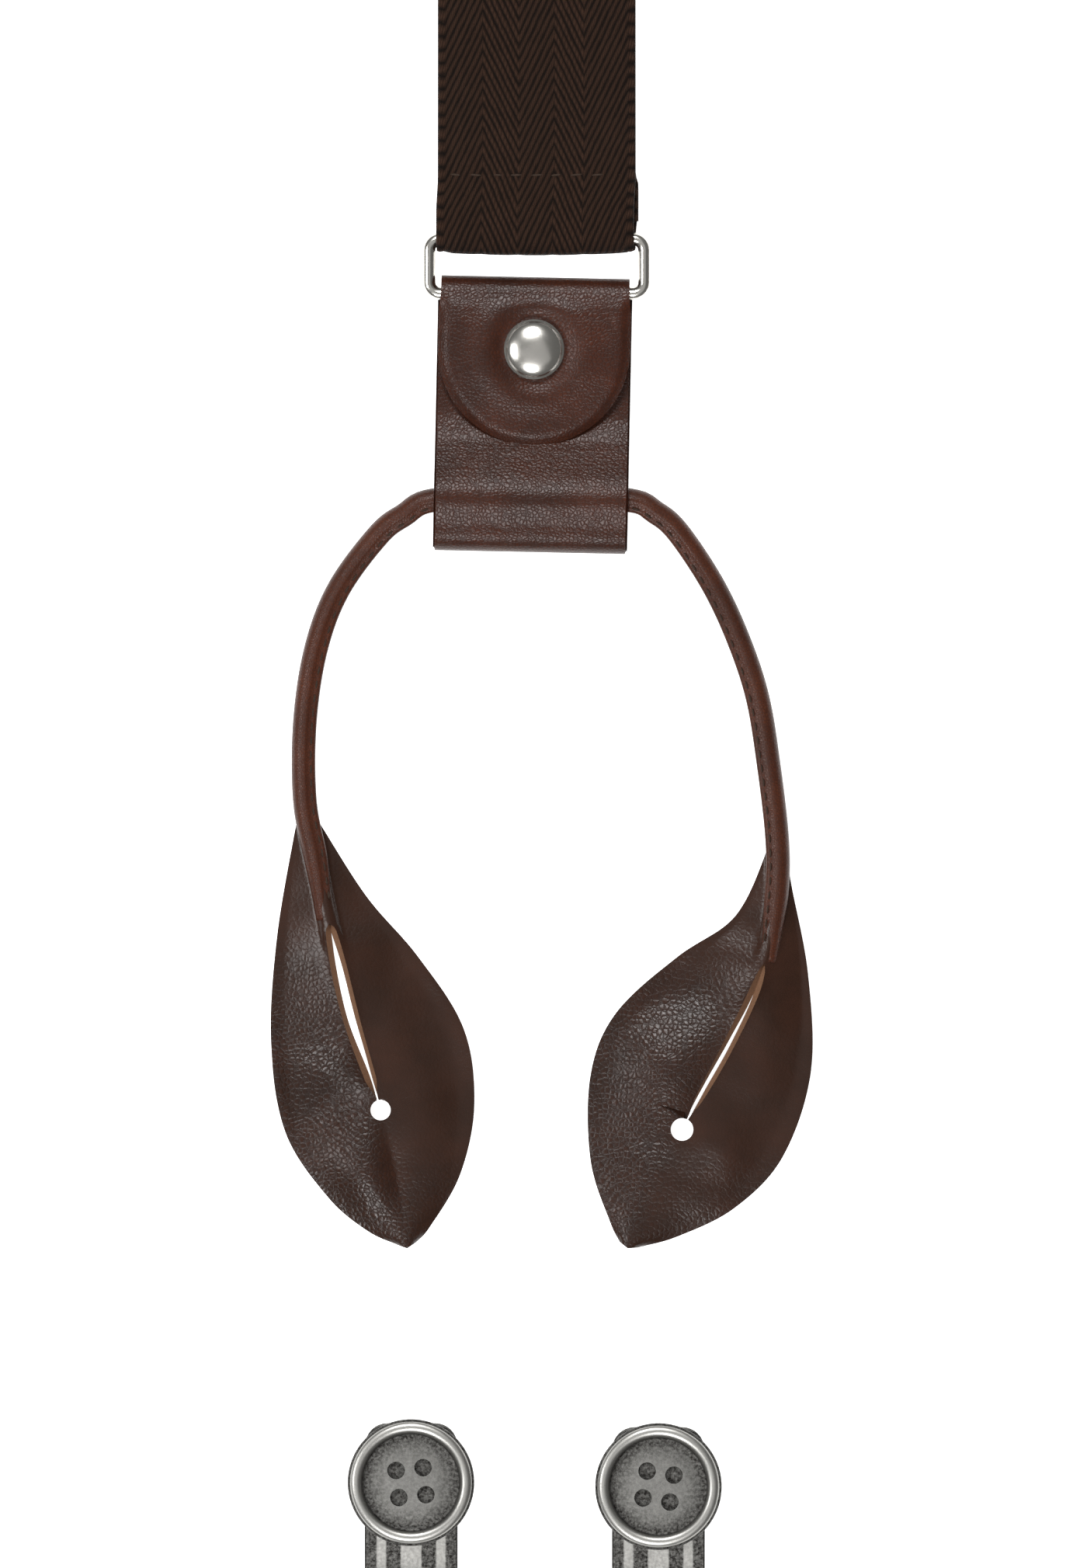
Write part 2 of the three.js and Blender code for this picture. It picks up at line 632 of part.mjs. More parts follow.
// Three short arms, one over each strap, with rounded inner corners.
function patchShape() {
  const leg = PATCH_WIDTH / 2;
  const armEnd = new THREE.Vector2(Math.sin(SPREAD), Math.cos(SPREAD));
  const armSide = new THREE.Vector2(Math.cos(SPREAD), -Math.sin(SPREAD));
  const reach = 33;
  const inner = new THREE.Vector2(1.5, PATCH_Y + 4).addScaledVector(armEnd, reach);
  const outer = inner.clone().addScaledVector(armSide, WEB_WIDTH + 1.5);
  const hip = outer.clone().addScaledVector(armEnd, -reach * 0.72);
  const shape = new THREE.Shape();
  shape.moveTo(-leg, PATCH_Y - PATCH_LEG).lineTo(leg, PATCH_Y - PATCH_LEG);
  shape.quadraticCurveTo(leg, PATCH_Y - 4, hip.x, hip.y);
  shape.lineTo(outer.x, outer.y).lineTo(inner.x, inner.y);
  shape.quadraticCurveTo(0, PATCH_Y + 22, -inner.x, inner.y);
  shape.lineTo(-outer.x, outer.y).lineTo(-hip.x, hip.y);
  shape.quadraticCurveTo(-leg, PATCH_Y - 4, -leg, PATCH_Y - PATCH_LEG);
  return shape;
}

function patchPieces() {
  const strapTop = PATCH_LEATHER + CLEAR + WEB_THICK;
  const topLow = strapTop + CLEAR;
  return [
    piece("patch_back", plate(patchShape(), 0, PATCH_LEATHER), TAB_LEATHER),
    piece("patch_front", plate(patchShape(), topLow, topLow + PATCH_LEATHER), TAB_LEATHER),
  ];
}

// ---- adjuster -----------------------------------------------------------------------------------

const COVER_PIN = { y: ADJUSTER_Y + 12, z: ADJUSTER_HEIGHT + 2.1 };
const SIDE_INNER = WEB_WIDTH / 2 + 0.9;

function adjusterFrameGeometry() {
  const outer = SIDE_INNER + SIDE_THICK;
  const sidePlate = (sign) => {
    const [a, b] = [sign * SIDE_INNER, sign * outer].sort((p, q) => p - q);
    const top = COVER_PIN.z + 1.3;
    const wall = box(a, b, ADJUSTER_Y - 2.2, ADJUSTER_Y + ADJUSTER_OPENING + 2.2, 0.6, ADJUSTER_HEIGHT + 1.4);
    const ear = box(a, b, COVER_PIN.y - 2, COVER_PIN.y + 2, ADJUSTER_HEIGHT, top);
    return join(wall, ear);
  };
  const bars = [0, ADJUSTER_OPENING].map((y) =>
    crossRod(ADJUSTER_Y + y, ADJUSTER_HEIGHT, outer - 0.2, BAR_RADIUS),
  );
  const pinHole = crossRod(COVER_PIN.y, COVER_PIN.z, outer + 1, PIN_RADIUS + CLEAR);
  return cut(join(sidePlate(1), sidePlate(-1), ...bars), pinHole);
}

function adjusterCoverGeometry() {
  const half = WEB_WIDTH / 2 + 0.4;
  const m = ADJUSTER_Y;
  const top = ADJUSTER_HEIGHT + SEWN_RADIUS + 2 * WEB_THICK + 2 * CLEAR + COVER_THICK / 2;
  const lid = centreLine([
    [COVER_PIN.y + 0.3, COVER_PIN.z + 1.3],
    [m + 7, top - 0.7],
    [m + 2, top],
    [m - 5, top - 0.1],
    [m - 7.5, top - 0.7],
    [m - 8.2, top - 1.6],
  ]);
  const knuckle = crossRod(COVER_PIN.y, COVER_PIN.z, half, PIN_RADIUS + CLEAR + 0.6);
  const bore = crossRod(COVER_PIN.y, COVER_PIN.z, half + 1, PIN_RADIUS + CLEAR);
  return cut(join(band(lid, COVER_THICK, 2 * half), knuckle), bore);
}

function adjuster(side) {
  const pin = crossRod(COVER_PIN.y, COVER_PIN.z, SIDE_INNER + SIDE_THICK, PIN_RADIUS, 10);
  return group(
    piece(`${side}_adjuster_frame`, adjusterFrameGeometry(), NICKEL),
    piece(`${side}_adjuster_cover`, adjusterCoverGeometry(), NICKEL),
    piece(`${side}_adjuster_pin`, pin, NICKEL),
  );
}

// ---- clip-on button -----------------------------------------------------------------------------

// Frame: the origin is on the ground under the button's centre, and -Y points to the clip's mouth.
const EAR_THICK = 1;
const BACK_EAR_X = CLIP_WIDTH / 2 - EAR_THICK; // inner face of the back jaw's ears
const FRONT_EAR_X = BACK_EAR_X - CLEAR - EAR_THICK;
const EYE_RADIUS = 1.5; // of the ears' round ends, about the pin
const PIN_PLAY = 0.1;
const BUTTON_UNDERSIDE = HANDLE_HEIGHT + SHEET / 2 + RIB_RISE + SHANK_LENGTH + 0.05;

function ear(x, low, high, radius) {
  const profile = new THREE.Shape();
  profile.moveTo(-HINGE_DROP - radius - 1.5, low).lineTo(-HINGE_DROP + radius + 1.5, low);
  profile.lineTo(-HINGE_DROP + radius, high);
  profile.absarc(-HINGE_DROP, high, radius, 0, Math.PI);
  const wall = plate(profile, 0, EAR_THICK);
  const upright = new THREE.Matrix4().makeBasis(vec(0, 1, 0), vec(0, 0, 1), vec(1, 0, 0));
  return wall.applyMatrix4(upright).translate(x, 0, 0);
}

function backJawGeometry() {
  const half = CLIP_WIDTH / 2;
  const corner = 4;
  const outline = new THREE.Shape();
  outline.moveTo(-half, -CLIP_BOTTOM).lineTo(half, -CLIP_BOTTOM).lineTo(half, CLIP_TOP - corner);
  outline.absarc(half - corner, CLIP_TOP - corner, corner, 0, Math.PI / 2);
  outline.absarc(-half + corner, CLIP_TOP - corner, corner, Math.PI / 2, Math.PI);
  const base = plate(outline, 0, SHEET, 6);
  const ears = [BACK_EAR_X, -half].map((x) => ear(x, SHEET / 2, HINGE_HEIGHT, EYE_RADIUS));
  const bore = crossRod(-HINGE_DROP, HINGE_HEIGHT, CLIP_WIDTH, CLIP_PIN_RADIUS + PIN_PLAY);
  return cut(join(base, ...ears), bore);
}

// The front jaw: a long handle under the button, ribs down to the mouth and two ears for the pin.
function frontJawGeometry() {
  const sheet = centreLine([
    [CLIP_TOP, HANDLE_HEIGHT],
    [-4, HANDLE_HEIGHT],
    [-HINGE_DROP + 2, HANDLE_HEIGHT - 1.1],
    [-HINGE_DROP - 4, HANDLE_HEIGHT - 2.5],
    [-CLIP_BOTTOM + 5.5, SHEET + 2.6],
    [-CLIP_BOTTOM + 1.2, SHEET + 1.5],
    [-CLIP_BOTTOM, SHEET + CLEAR + SHEET / 2],
  ]);
  const ribs = [-5, 0, 5].map((x) => {
    const width = x ? 1.8 : 3.7;
    const line = sheet.map((point) => point.clone().add(new THREE.Vector2(0, RIB_RISE)));
    return band(line, SHEET, width).translate(x, 0, 0);
  });
  const ears = [FRONT_EAR_X, -FRONT_EAR_X - EAR_THICK].map((x) => {
    const [low, top] = [HINGE_HEIGHT, HANDLE_HEIGHT - 1.4];
    const hanging = box(x, x + EAR_THICK, -HINGE_DROP - 2.6, -HINGE_DROP + 2.6, low, top);
    const eye = rod(vec(x, -HINGE_DROP, low), vec(x + EAR_THICK, -HINGE_DROP, low), EYE_RADIUS);
    return join(hanging, eye);
  });
  const bore = crossRod(-HINGE_DROP, HINGE_HEIGHT, CLIP_WIDTH, CLIP_PIN_RADIUS + PIN_PLAY);
  return cut(join(band(sheet, SHEET, CLIP_WIDTH), ...ribs, ...ears), bore);
}

// A torsion spring round the pin: three turns and a leg along each jaw.
function springGeometry() {
  const turns = 3;
  const halfLength = 2.7;
  const coil = Array.from({ length: turns * 10 + 1 }, (_, i) => {
    const angle = (2 * Math.PI * i) / 10;
    const x = THREE.MathUtils.lerp(-halfLength, halfLength, i / (turns * 10));
    const [y, z] = [SPRING_RADIUS * Math.cos(angle), SPRING_RADIUS * Math.sin(angle)];
    return vec(x, -HINGE_DROP + y, HINGE_HEIGHT + z);
  });
  const lowerLeg = vec(-halfLength, 2, SHEET + SPRING_WIRE);
  const upperLeg = vec(halfLength, 2, HANDLE_HEIGHT - SHEET / 2 - SPRING_WIRE);
  const wire = new THREE.CatmullRomCurve3([lowerLeg, ...coil, upperLeg], false, "catmullrom", 0.3);
  return cordAlong(wire, SPRING_WIRE / 2, 6, turns * 10 + 6);
}

function buttonGeometry() {
  const [low, top] = [BUTTON_UNDERSIDE, BUTTON_UNDERSIDE + BUTTON_THICK];
  const floor = top - 1;
  const body = turned([
    [0, low],
    [BUTTON_RADIUS - 1, low],
    [BUTTON_RADIUS, low + 1],
    [BUTTON_RADIUS, top - 0.9],
    [BUTTON_RADIUS - 0.7, top - 0.1],
    [BUTTON_RADIUS - 1.4, top],
    [BUTTON_RECESS + 0.4, top - 0.4],
    [BUTTON_RECESS, floor],
    [0, floor],
  ], 32);
  const reach = BUTTON_HOLE_PITCH / 2;
  const holes = [[1, 1], [-1, 1], [-1, -1], [1, -1]].map(([x, y]) =>
    uprightRod(x * reach, y * reach, low + 0.8, top + 1, BUTTON_HOLE, 10),
  );
  return cut(body, ...holes);
}

function clip(side, x, y, turn) {
  const shankLow = HANDLE_HEIGHT + SHEET / 2 + RIB_RISE + 0.05;
  const pin = crossRod(-HINGE_DROP, HINGE_HEIGHT, CLIP_WIDTH / 2, CLIP_PIN_RADIUS, 16);
  const shank = uprightRod(0, 0, shankLow, BUTTON_UNDERSIDE - 0.05, SHANK_RADIUS);
  const button = piece(`${side}_clip_button`, buttonGeometry(), ANTIQUE_SILVER);
  button.rotation.z = turn;
  const clipGroup = group(
    piece(`${side}_clip_back_jaw`, backJawGeometry(), ANTIQUE_SILVER),
    piece(`${side}_clip_front_jaw`, frontJawGeometry(), ANTIQUE_SILVER),
    piece(`${side}_clip_pin`, pin, SPRING_STEEL),
    piece(`${side}_clip_spring`, springGeometry(), SPRING_STEEL),
    piece(`${side}_clip_shank`, shank, ANTIQUE_SILVER),
    button,
  );
  clipGroup.position.set(x, y, 0);
  return clipGroup;
}

// ---- the whole pair -----------------------------------------------------------------------------

function backHalf() {
  return group(piece("back_strap", backStrapGeometry(), WEBBING), strapEnd("back"), ...patchPieces());
}

function frontHalf(side) {
  const right = side === "right";
  const place = frontEndPlace();
  const strap = piece(`${side}_front_strap`, frontStrapGeometry(), WEBBING);
  if (!right) strap.scale.x = -1;
  const end = group(strapEnd(side), adjuster(side));
  end.position.set(right ? place.x : -place.x, place.y, 0);
  end.rotation.z = right ? SPREAD : -SPREAD;
  return group(strap, end);
}

const CLIP_TURN = THREE.MathUtils.degToRad(6);
const LEFT_CLIP = { x: -22.2, y: -219.7 };
const RIGHT_CLIP = { x: 21.5, y: -220.4 };

const suspenders = group(
  backHalf(),
  frontHalf("left"),
  frontHalf("right"),
  clip("left", LEFT_CLIP.x, LEFT_CLIP.y, CLIP_TURN),
  clip("right", RIGHT_CLIP.x, RIGHT_CLIP.y, -1.4 * CLIP_TURN),
);

// The part's origin is on the ground, in the middle of the whole pair's outline.
const outline = new THREE.Box3().setFromObject(suspenders);
const middle = outline.getCenter(vec(0, 0, 0));
suspenders.position.set(-middle.x, -middle.y, -outline.min.z);

export default group(suspenders);
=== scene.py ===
"""Y-back suspenders laid flat, with leather button ends, adjusters and two loose clip-on buttons.

Sizes are in millimetres in the lists and are turned into metres by MM. Every leather end is built
in its own frame: the origin is on the ground under a hinge of the frame, X across the strap, -Y to the tips.
"""
import json
import math

import bmesh
import bpy
from mathutils import Matrix, Vector, noise


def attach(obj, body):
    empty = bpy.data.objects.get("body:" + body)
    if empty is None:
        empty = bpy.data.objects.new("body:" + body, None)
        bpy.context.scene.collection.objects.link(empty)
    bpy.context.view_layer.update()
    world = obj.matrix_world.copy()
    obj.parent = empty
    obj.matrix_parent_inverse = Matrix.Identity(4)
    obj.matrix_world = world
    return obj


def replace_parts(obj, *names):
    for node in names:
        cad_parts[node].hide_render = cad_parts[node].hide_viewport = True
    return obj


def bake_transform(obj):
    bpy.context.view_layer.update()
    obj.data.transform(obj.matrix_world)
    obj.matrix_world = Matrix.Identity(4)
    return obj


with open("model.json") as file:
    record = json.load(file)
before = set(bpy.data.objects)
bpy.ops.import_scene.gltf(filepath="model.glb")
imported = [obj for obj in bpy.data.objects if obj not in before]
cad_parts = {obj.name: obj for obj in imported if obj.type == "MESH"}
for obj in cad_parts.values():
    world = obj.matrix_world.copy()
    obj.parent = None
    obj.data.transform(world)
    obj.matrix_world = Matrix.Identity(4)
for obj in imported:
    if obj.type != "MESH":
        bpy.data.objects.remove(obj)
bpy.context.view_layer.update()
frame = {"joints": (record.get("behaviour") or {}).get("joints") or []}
joints = {joint["name"]: joint for joint in frame["joints"]}

MM = 0.001
CLEAR = 0.3
WEB_WIDTH, WEB_THICK = 35, 1.5
SPREAD = math.radians(18)
WIRE, BAR_PITCH = 2.3, 9.7
RING_HALF_LONG, RING_CORNER = WEB_WIDTH / 2 + 0.4 + WIRE / 2, 2.0
LEATHER, TAB_WIDTH, FLAP_WIDTH = 1.3, 34.4, 33
FLAP_LENGTH, TAB_LENGTH = 26.8, 45.8
BAR_HEIGHT = WEB_THICK + CLEAR + WIRE / 2
WEB_LOW = WEB_THICK / 2
WEB_UP = WEB_LOW + WEB_THICK + CLEAR
LOOP_RADIUS = WIRE / 2 + CLEAR + WEB_THICK / 2
LOOP_TOP = BAR_HEIGHT + LOOP_RADIUS
LEATHER_LOW = LEATHER / 2
TAB_LOOP_RADIUS = BAR_HEIGHT - LEATHER_LOW
TAB_TOP = BAR_HEIGHT + TAB_LOOP_RADIUS
TAB_FRONT = LEATHER_LOW + LEATHER + CLEAR
FLAP_AT_SNAP = TAB_FRONT + LEATHER + 2.3
SNAP_DROP, RUNNER_DROP = 9.9, 36.2
ROLL_RADIUS, ROLL_IN_TUNNEL = 2.25, 4.1
LEAF_THICK, LEAF_COLUMNS = 1.2, 34
PATCH_Y, PATCH_LEATHER, PATCH_WIDTH, PATCH_LEG = 145, 1.2, 39, 25
SHOULDER_Y, FOLD_RADIUS = 275, 4
ADJUSTER_Y, ADJUSTER_OPENING, BAR_RADIUS = 95, 16, 1.1
SEWN_RADIUS = BAR_RADIUS + CLEAR + WEB_THICK / 2
ADJUSTER_HEIGHT = WEB_LOW + SEWN_RADIUS
HINGE_DROP, HINGE_HEIGHT, HINGE_EYE = 11, 2.9, 1.5


# ---- places taken from the frame ------------------------------------------------------------------

def hinge_frame(joint, turned=1, back=0.0):
    """A frame on the ground under a hinge, with X along the hinge, moved `back` mm along its Y."""
    x = (Vector(joints[joint]["axis"]) * turned).normalized()
    z = Vector((0, 0, 1))
    y = z.cross(x)
    place = Matrix((x, y, z)).transposed().to_4x4()
    place.translation = Vector((*joints[joint]["pos_m"][:2], 0)) + y * back * MM
    return place


def end_frame(side):
    """The frame of one end of a strap, under its ring's upper bar."""
    return hinge_frame(f"{side}_ring_swing")


def tab_frame(side):
    """The frame of a tab, under the ring's lower bar."""
    return hinge_frame(f"{side}_flap_open", -1, 0.15)


def runner_frame(side):
    """The frame of a runner, under the middle of the tab's tunnel."""
    return hinge_frame(f"{side}_runner_swing", -1)


def clip_frame(side):
    """The frame of a clip-on button, under the button's middle."""
    return hinge_frame(f"{side}_clip_jaw", -1, HINGE_DROP)


# ---- centre lines ---------------------------------------------------------------------------------

def arc(centre, radius, start, end, steps=14):
    """Points of an arc, with its angles in degrees from the first axis towards the second."""
    turn = [math.radians(start + (end - start) * i / steps) for i in range(steps + 1)]
    return [(centre[0] + radius * math.cos(a), centre[1] + radius * math.sin(a)) for a in turn]


def ramp(from_y, from_z, to_y, to_z, steps=8):
    """A smooth change of height between two flat stretches."""
    shares = [i / steps for i in range(steps + 1)]
    return [(from_y + (to_y - from_y) * t, from_z + (to_z - from_z) * t * t * (3 - 2 * t)) for t in shares]


def evened(points, step, passes=2):
    """The same line with a point about every `step`, its corners eased."""
    line = [Vector(p) for p in points]
    lengths = [0.0]
    for a, b in zip(line, line[1:]):
        lengths.append(lengths[-1] + (b - a).length)
    count = max(4, round(lengths[-1] / step))
    result, k = [], 0
    for i in range(count + 1):
        want = lengths[-1] * i / count
        while k < len(line) - 2 and lengths[k + 1] < want:
            k += 1
        span = lengths[k + 1] - lengths[k]
        result.append(line[k].lerp(line[k + 1], (want - lengths[k]) / span if span else 0))
    for _ in range(passes):
        inner = [(a + 2 * b + c) / 4 for a, b, c in zip(result, result[1:], result[2:])]
        result = [result[0], *inner, result[-1]]
    return result


def through(points, step):
    """A smooth curve through given points, with a point about every `step`."""
    p = [Vector(q) for q in points]
    p = [p[0] * 2 - p[1], *p, p[-1] * 2 - p[-2]]
    fine = []
    for a, b, c, d in zip(p, p[1:], p[2:], p[3:]):
        for i in range(12):
            t = i / 12
            fine.append(0.5 * (2 * b + (c - a) * t + (2 * a - 5 * b + 4 * c - d) * t * t
                               + (3 * b - a - 3 * c + d) * t ** 3))
    return evened([*fine, p[-2]], step, passes=0)


def smoothstep(x, low, high):
    """0 up to low, 1 from high, with an eased rise between."""
    t = min(max((x - low) / (high - low), 0), 1)
    return t * t * (3 - 2 * t)


# ---- mesh helpers ---------------------------------------------------------------------------------

def piece_from(bm, name, material, body, replaced=(), smooth=True):
    """Ends a bmesh, whose faces already point outwards, as a piece of the object that rides on a body if one
    is given.
    """
    mesh = bpy.data.meshes.new(name)
    if smooth:
        for face in bm.faces:
            face.smooth = True
    bm.to_mesh(mesh)
    bm.free()
    obj = bpy.data.objects.new(name, mesh)
    bpy.context.scene.collection.objects.link(obj)
    for one in material if isinstance(material, (list, tuple)) else [material]:
        mesh.materials.append(one)
    if body:
        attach(obj, body)
    if replaced:
        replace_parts(obj, *replaced)
    return obj


def mark_points(obj, name, rule):
    """Stores a value from 0 to 1 at each point, such as how much patina and painted shade darken it."""
    mask = obj.data.attributes.new(name, "FLOAT", "POINT")
    for vert in obj.data.vertices:
        mask.data[vert.index].value = min(max(rule(vert.co), 0), 1)
    return obj


def sharpen(obj, degrees=40):
    """Marks the edges sharper than an angle, so that smooth shading stops there."""
    obj.data.set_sharp_from_angle(angle=math.radians(degrees))
    return obj


def skin(stations, section, place, ring=False, uv=None):
    """A closed skin along stations of (point, across, up), each with a closed section of (across, up) points.

    section(k, t) gives the points at station k, t being its share of the length. All lengths are in mm.
    uv(i, k, point) gives a corner's place on the material.
    """
    count, rows = len(section(0, 0)), len(stations)
    bm = bmesh.new()
    spans = rows if ring else rows - 1
    bmesh.ops.create_grid(bm, x_segments=count, y_segments=spans, size=1)
    layer = bm.loops.layers.uv.new("weave") if uv else None
    at = {}
    sections = [section(k, k / (rows - 1)) for k in range(rows)]
    for vert in bm.verts:
        i = round((vert.co.x + 1) / 2 * count)
        k = round((vert.co.y + 1) / 2 * spans)
        at[vert] = (i, k)
        point, across, up = stations[k % rows]
        a, b = sections[k % rows][i % count]
        vert.co = place @ ((point + across * a + up * b) * MM)
    if uv:
        for face in bm.faces:
            for loop in face.loops:
                i, k = at[loop.vert]
                loop[layer].uv = uv(i, k, sections[k % rows][i % count])
    bmesh.ops.remove_doubles(bm, verts=bm.verts, dist=1e-7)
    if not ring:
        rims = [edge for edge in bm.edges if edge.is_boundary]
        bmesh.ops.holes_fill(bm, edges=rims, sides=0)
    bmesh.ops.recalc_face_normals(bm, faces=bm.faces)
    return bm


def upright_stations(line, x=0.0):
    """Stations along a line of (y, z) points in the Y-Z plane, with X across."""
    stations = []
    for k, point in enumerate(line):
        along = (line[min(k + 1, len(line) - 1)] - line[max(k - 1, 0)]).normalized()
        stations.append((Vector((x, point.x, point.y)), Vector((1, 0, 0)), Vector((0, -along.y, along.x))))
    return stations


def free_stations(line, up=Vector((0, 0, 1)), ring=False):
    """Stations along any line in space, kept as upright as they can be."""
    stations, n = [], len(line)
    for k, point in enumerate(line):
        after = line[(k + 1) % n] if ring else line[min(k + 1, n - 1)]
        before = line[k - 1] if ring else line[max(k - 1, 0)]
        along = (after - before).normalized()
        across = along.cross(up).normalized()
        stations.append((point, across, across.cross(along)))
    return stations


def round_section(radius, sides):
    """The same round section at every station."""
    turn = [2 * math.pi * i / sides for i in range(sides)]
    points = [(radius * math.cos(a), radius * math.sin(a)) for a in turn]
    return lambda k, t: points


def sheet_section(width, thick, columns=16, edge=0.35):
    """A flat strip's section with rounded edges."""
    half, top = width / 2, thick / 2
    inner = [-half + edge + (width - 2 * edge) * i / columns for i in range(columns + 1)]
    left = [(-half + edge * (1 - math.sin(a)), top * math.cos(a) * -1) for a in (2.1, 1.57, 1.04)]
    upper = [(x, top) for x in inner]
    lower = [(-x, -top) for x in inner]
    right = [(-x, -z) for x, z in left]
    return [*left, *upper, *right, *lower]


def turned_piece(profile, place, sides=40):
    """A shape turned about Z from (radius, z) points that start and end on the axis or close up."""
    bm = bmesh.new()
    verts = [bm.verts.new((radius * MM, 0, z * MM)) for radius, z in profile]
    edges = [bm.edges.new(pair) for pair in zip(verts, verts[1:])]
    bmesh.ops.spin(bm, geom=[*verts, *edges], axis=(0, 0, 1), cent=(0, 0, 0), angle=2 * math.pi,
                   steps=sides, use_merge=True)
    bmesh.ops.remove_doubles(bm, verts=bm.verts, dist=1e-7)
    bmesh.ops.recalc_face_normals(bm, faces=bm.faces)
    bmesh.ops.transform(bm, matrix=place, verts=bm.verts)
    return bm


def add_box(bm, low, high, place, bevel=0.25):
    """A box with eased edges, from its low and high corners in mm."""
    low, high = Vector(low) * MM, Vector(high) * MM
    made = bmesh.ops.create_cube(bm, size=1)["verts"]
    bmesh.ops.scale(bm, vec=high - low, verts=made)
    bmesh.ops.translate(bm, vec=(high + low) / 2, verts=made)
    edges = list({edge for vert in made for edge in vert.link_edges})
    rounded = bmesh.ops.bevel(bm, geom=edges, offset=bevel * MM, segments=2, profile=0.5,
                              affect="EDGES", material=-1)
    touched = {vert for face in rounded["faces"] for vert in face.verts} | {v for v in made if v.is_valid}
    bmesh.ops.transform(bm, matrix=place, verts=list(touched))


def add_rod(bm, start, end, radius, place, sides=16):
    """A round bar between two points in mm."""
    start, end = Vector(start), Vector(end)
    turn = (end - start).to_track_quat("Z", "Y").to_matrix().to_4x4()
    turn.translation = (start + end) / 2 * MM
    bmesh.ops.create_cone(bm, cap_ends=True, segments=sides, radius1=radius * MM, radius2=radius * MM,
                          depth=(end - start).length * MM, matrix=place @ turn)


def add_stitches(bm, line, place, length=2.2, gap=0.9, radius=0.28, sink=0.05):
    """Thread that shows as a row of short rounded stitches along a line in mm."""
    dots = evened(line, 0.25, passes=0)
    pitch = length + gap
    step = (dots[-1] - dots[0]).length / max(len(dots) - 1, 1)
    total = sum((b - a).length for a, b in zip(dots, dots[1:]))
    count = max(1, int(total / pitch))
    for i in range(count):
        middle = (i + 0.5) / count * (len(dots) - 1)
        reach = length / 2 / max(total, step) * (len(dots) - 1)
        a = dots[max(0, round(middle - reach))]
        b = dots[min(len(dots) - 1, round(middle + reach))]
        if (b - a).length < 0.1:
            continue
        turn = (b - a).to_track_quat("Z", "Y").to_matrix().to_4x4()
        turn.translation = ((a + b) / 2 - Vector((0, 0, sink))) * MM
        size = Matrix.Diagonal((radius, radius, (b - a).length / 2, 1 / MM)) * MM
        size[3][3] = 1
        bmesh.ops.create_uvsphere(bm, u_segments=6, v_segments=5, radius=1, matrix=place @ turn @ size)


# ---- shader groups --------------------------------------------------------------------------------

def shader_group(name, inputs, outputs):
    """A node group with its sockets, and the nodes at its two ends."""
    group = bpy.data.node_groups.new(name, "ShaderNodeTree")
    for label, kind, value in inputs:
        socket = group.interface.new_socket(label, in_out="INPUT", socket_type=kind)
        if value is not None:
            socket.default_value = value
    for label, kind in outputs:
        group.interface.new_socket(label, in_out="OUTPUT", socket_type=kind)
    return group, group.nodes.new("NodeGroupInput"), group.nodes.new("NodeGroupOutput")


class Nodes:
    """Short names for the shader nodes that the finishes use, in one tree."""

    def __init__(self, tree):
        self.tree = tree

    def add(self, kind, values=(), **settings):
        node = self.tree.nodes.new(kind)
        for key, value in settings.items():
            setattr(node, key, value)
        for key, value in dict(values).items():
            self.feed(value, node.inputs[key])
        return node

    def feed(self, value, socket):
        if isinstance(value, bpy.types.NodeSocket):
            self.tree.links.new(value, socket)
        else:
            socket.default_value = value

    def math(self, operation, *terms, clamp=False):
        return self.add("ShaderNodeMath", enumerate(terms), operation=operation, use_clamp=clamp).outputs[0]

    def noise(self, where, scale, detail=3.0, roughness=0.5):
        values = {"Vector": where, "Scale": scale, "Detail": detail, "Roughness": roughness}
        return self.add("ShaderNodeTexNoise", values).outputs["Fac"]

    def remap(self, value, low, high, to_low=0.0, to_high=1.0):
        values = {"Value": value, "From Min": low, "From Max": high, "To Min": to_low, "To Max": to_high}
        return self.add("ShaderNodeMapRange", values, clamp=True).outputs["Result"]

    def mix(self, share, a, b):
        node = self.add("ShaderNodeMix", data_type="RGBA")
        for value, socket in ((share, node.inputs[0]), (a, node.inputs[6]), (b, node.inputs[7])):
            self.feed(value, socket)
        return node.outputs[2]

    def bump(self, height, strength, distance):
        values = {"Height": height, "Strength": strength, "Distance": distance}
        return self.add("ShaderNodeBump", values).outputs["Normal"]


def leather_grain_group():
    """Pebbled grain: small cells parted by fine creases, and broad patches for the colour."""
    group, start, end = shader_group(
        "LeatherGrain",
        [("Place", "NodeSocketVector", None), ("Cell Scale", "NodeSocketFloat", 1500.0)],
        [("Height", "NodeSocketFloat"), ("Crease", "NodeSocketFloat"), ("Mottle", "NodeSocketFloat")])
    n = Nodes(group)
    where, scale = start.outputs["Place"], start.outputs["Cell Scale"]
    warp = n.add("ShaderNodeTexNoise", {"Vector": where, "Scale": 420.0, "Detail": 2.0}).outputs["Color"]
    shifted = n.add("ShaderNodeVectorMath", {0: warp, 1: (0.0006, 0.0006, 0.0006)}, operation="MULTIPLY")
    moved = n.add("ShaderNodeVectorMath", {0: where, 1: shifted.outputs[0]}, operation="ADD").outputs[0]
    cells = n.add("ShaderNodeTexVoronoi", {"Vector": moved, "Scale": scale, "Randomness": 0.9},
                  feature="DISTANCE_TO_EDGE").outputs["Distance"]
    pebble = n.math("POWER", n.remap(cells, 0.0, 0.42), 0.6)
    fine = n.noise(where, n.math("MULTIPLY", scale, 1.25), 1.5, 0.5)
    patchy = n.noise(where, 95.0, 3.0, 0.6)
    height = n.math("ADD", n.math("MULTIPLY", pebble, 0.7), n.math("MULTIPLY", fine, 0.6))
    group.links.new(height, end.inputs["Height"])
    group.links.new(n.math("SUBTRACT", 1.0, pebble), end.inputs["Crease"])
    group.links.new(patchy, end.inputs["Mottle"])
    return group


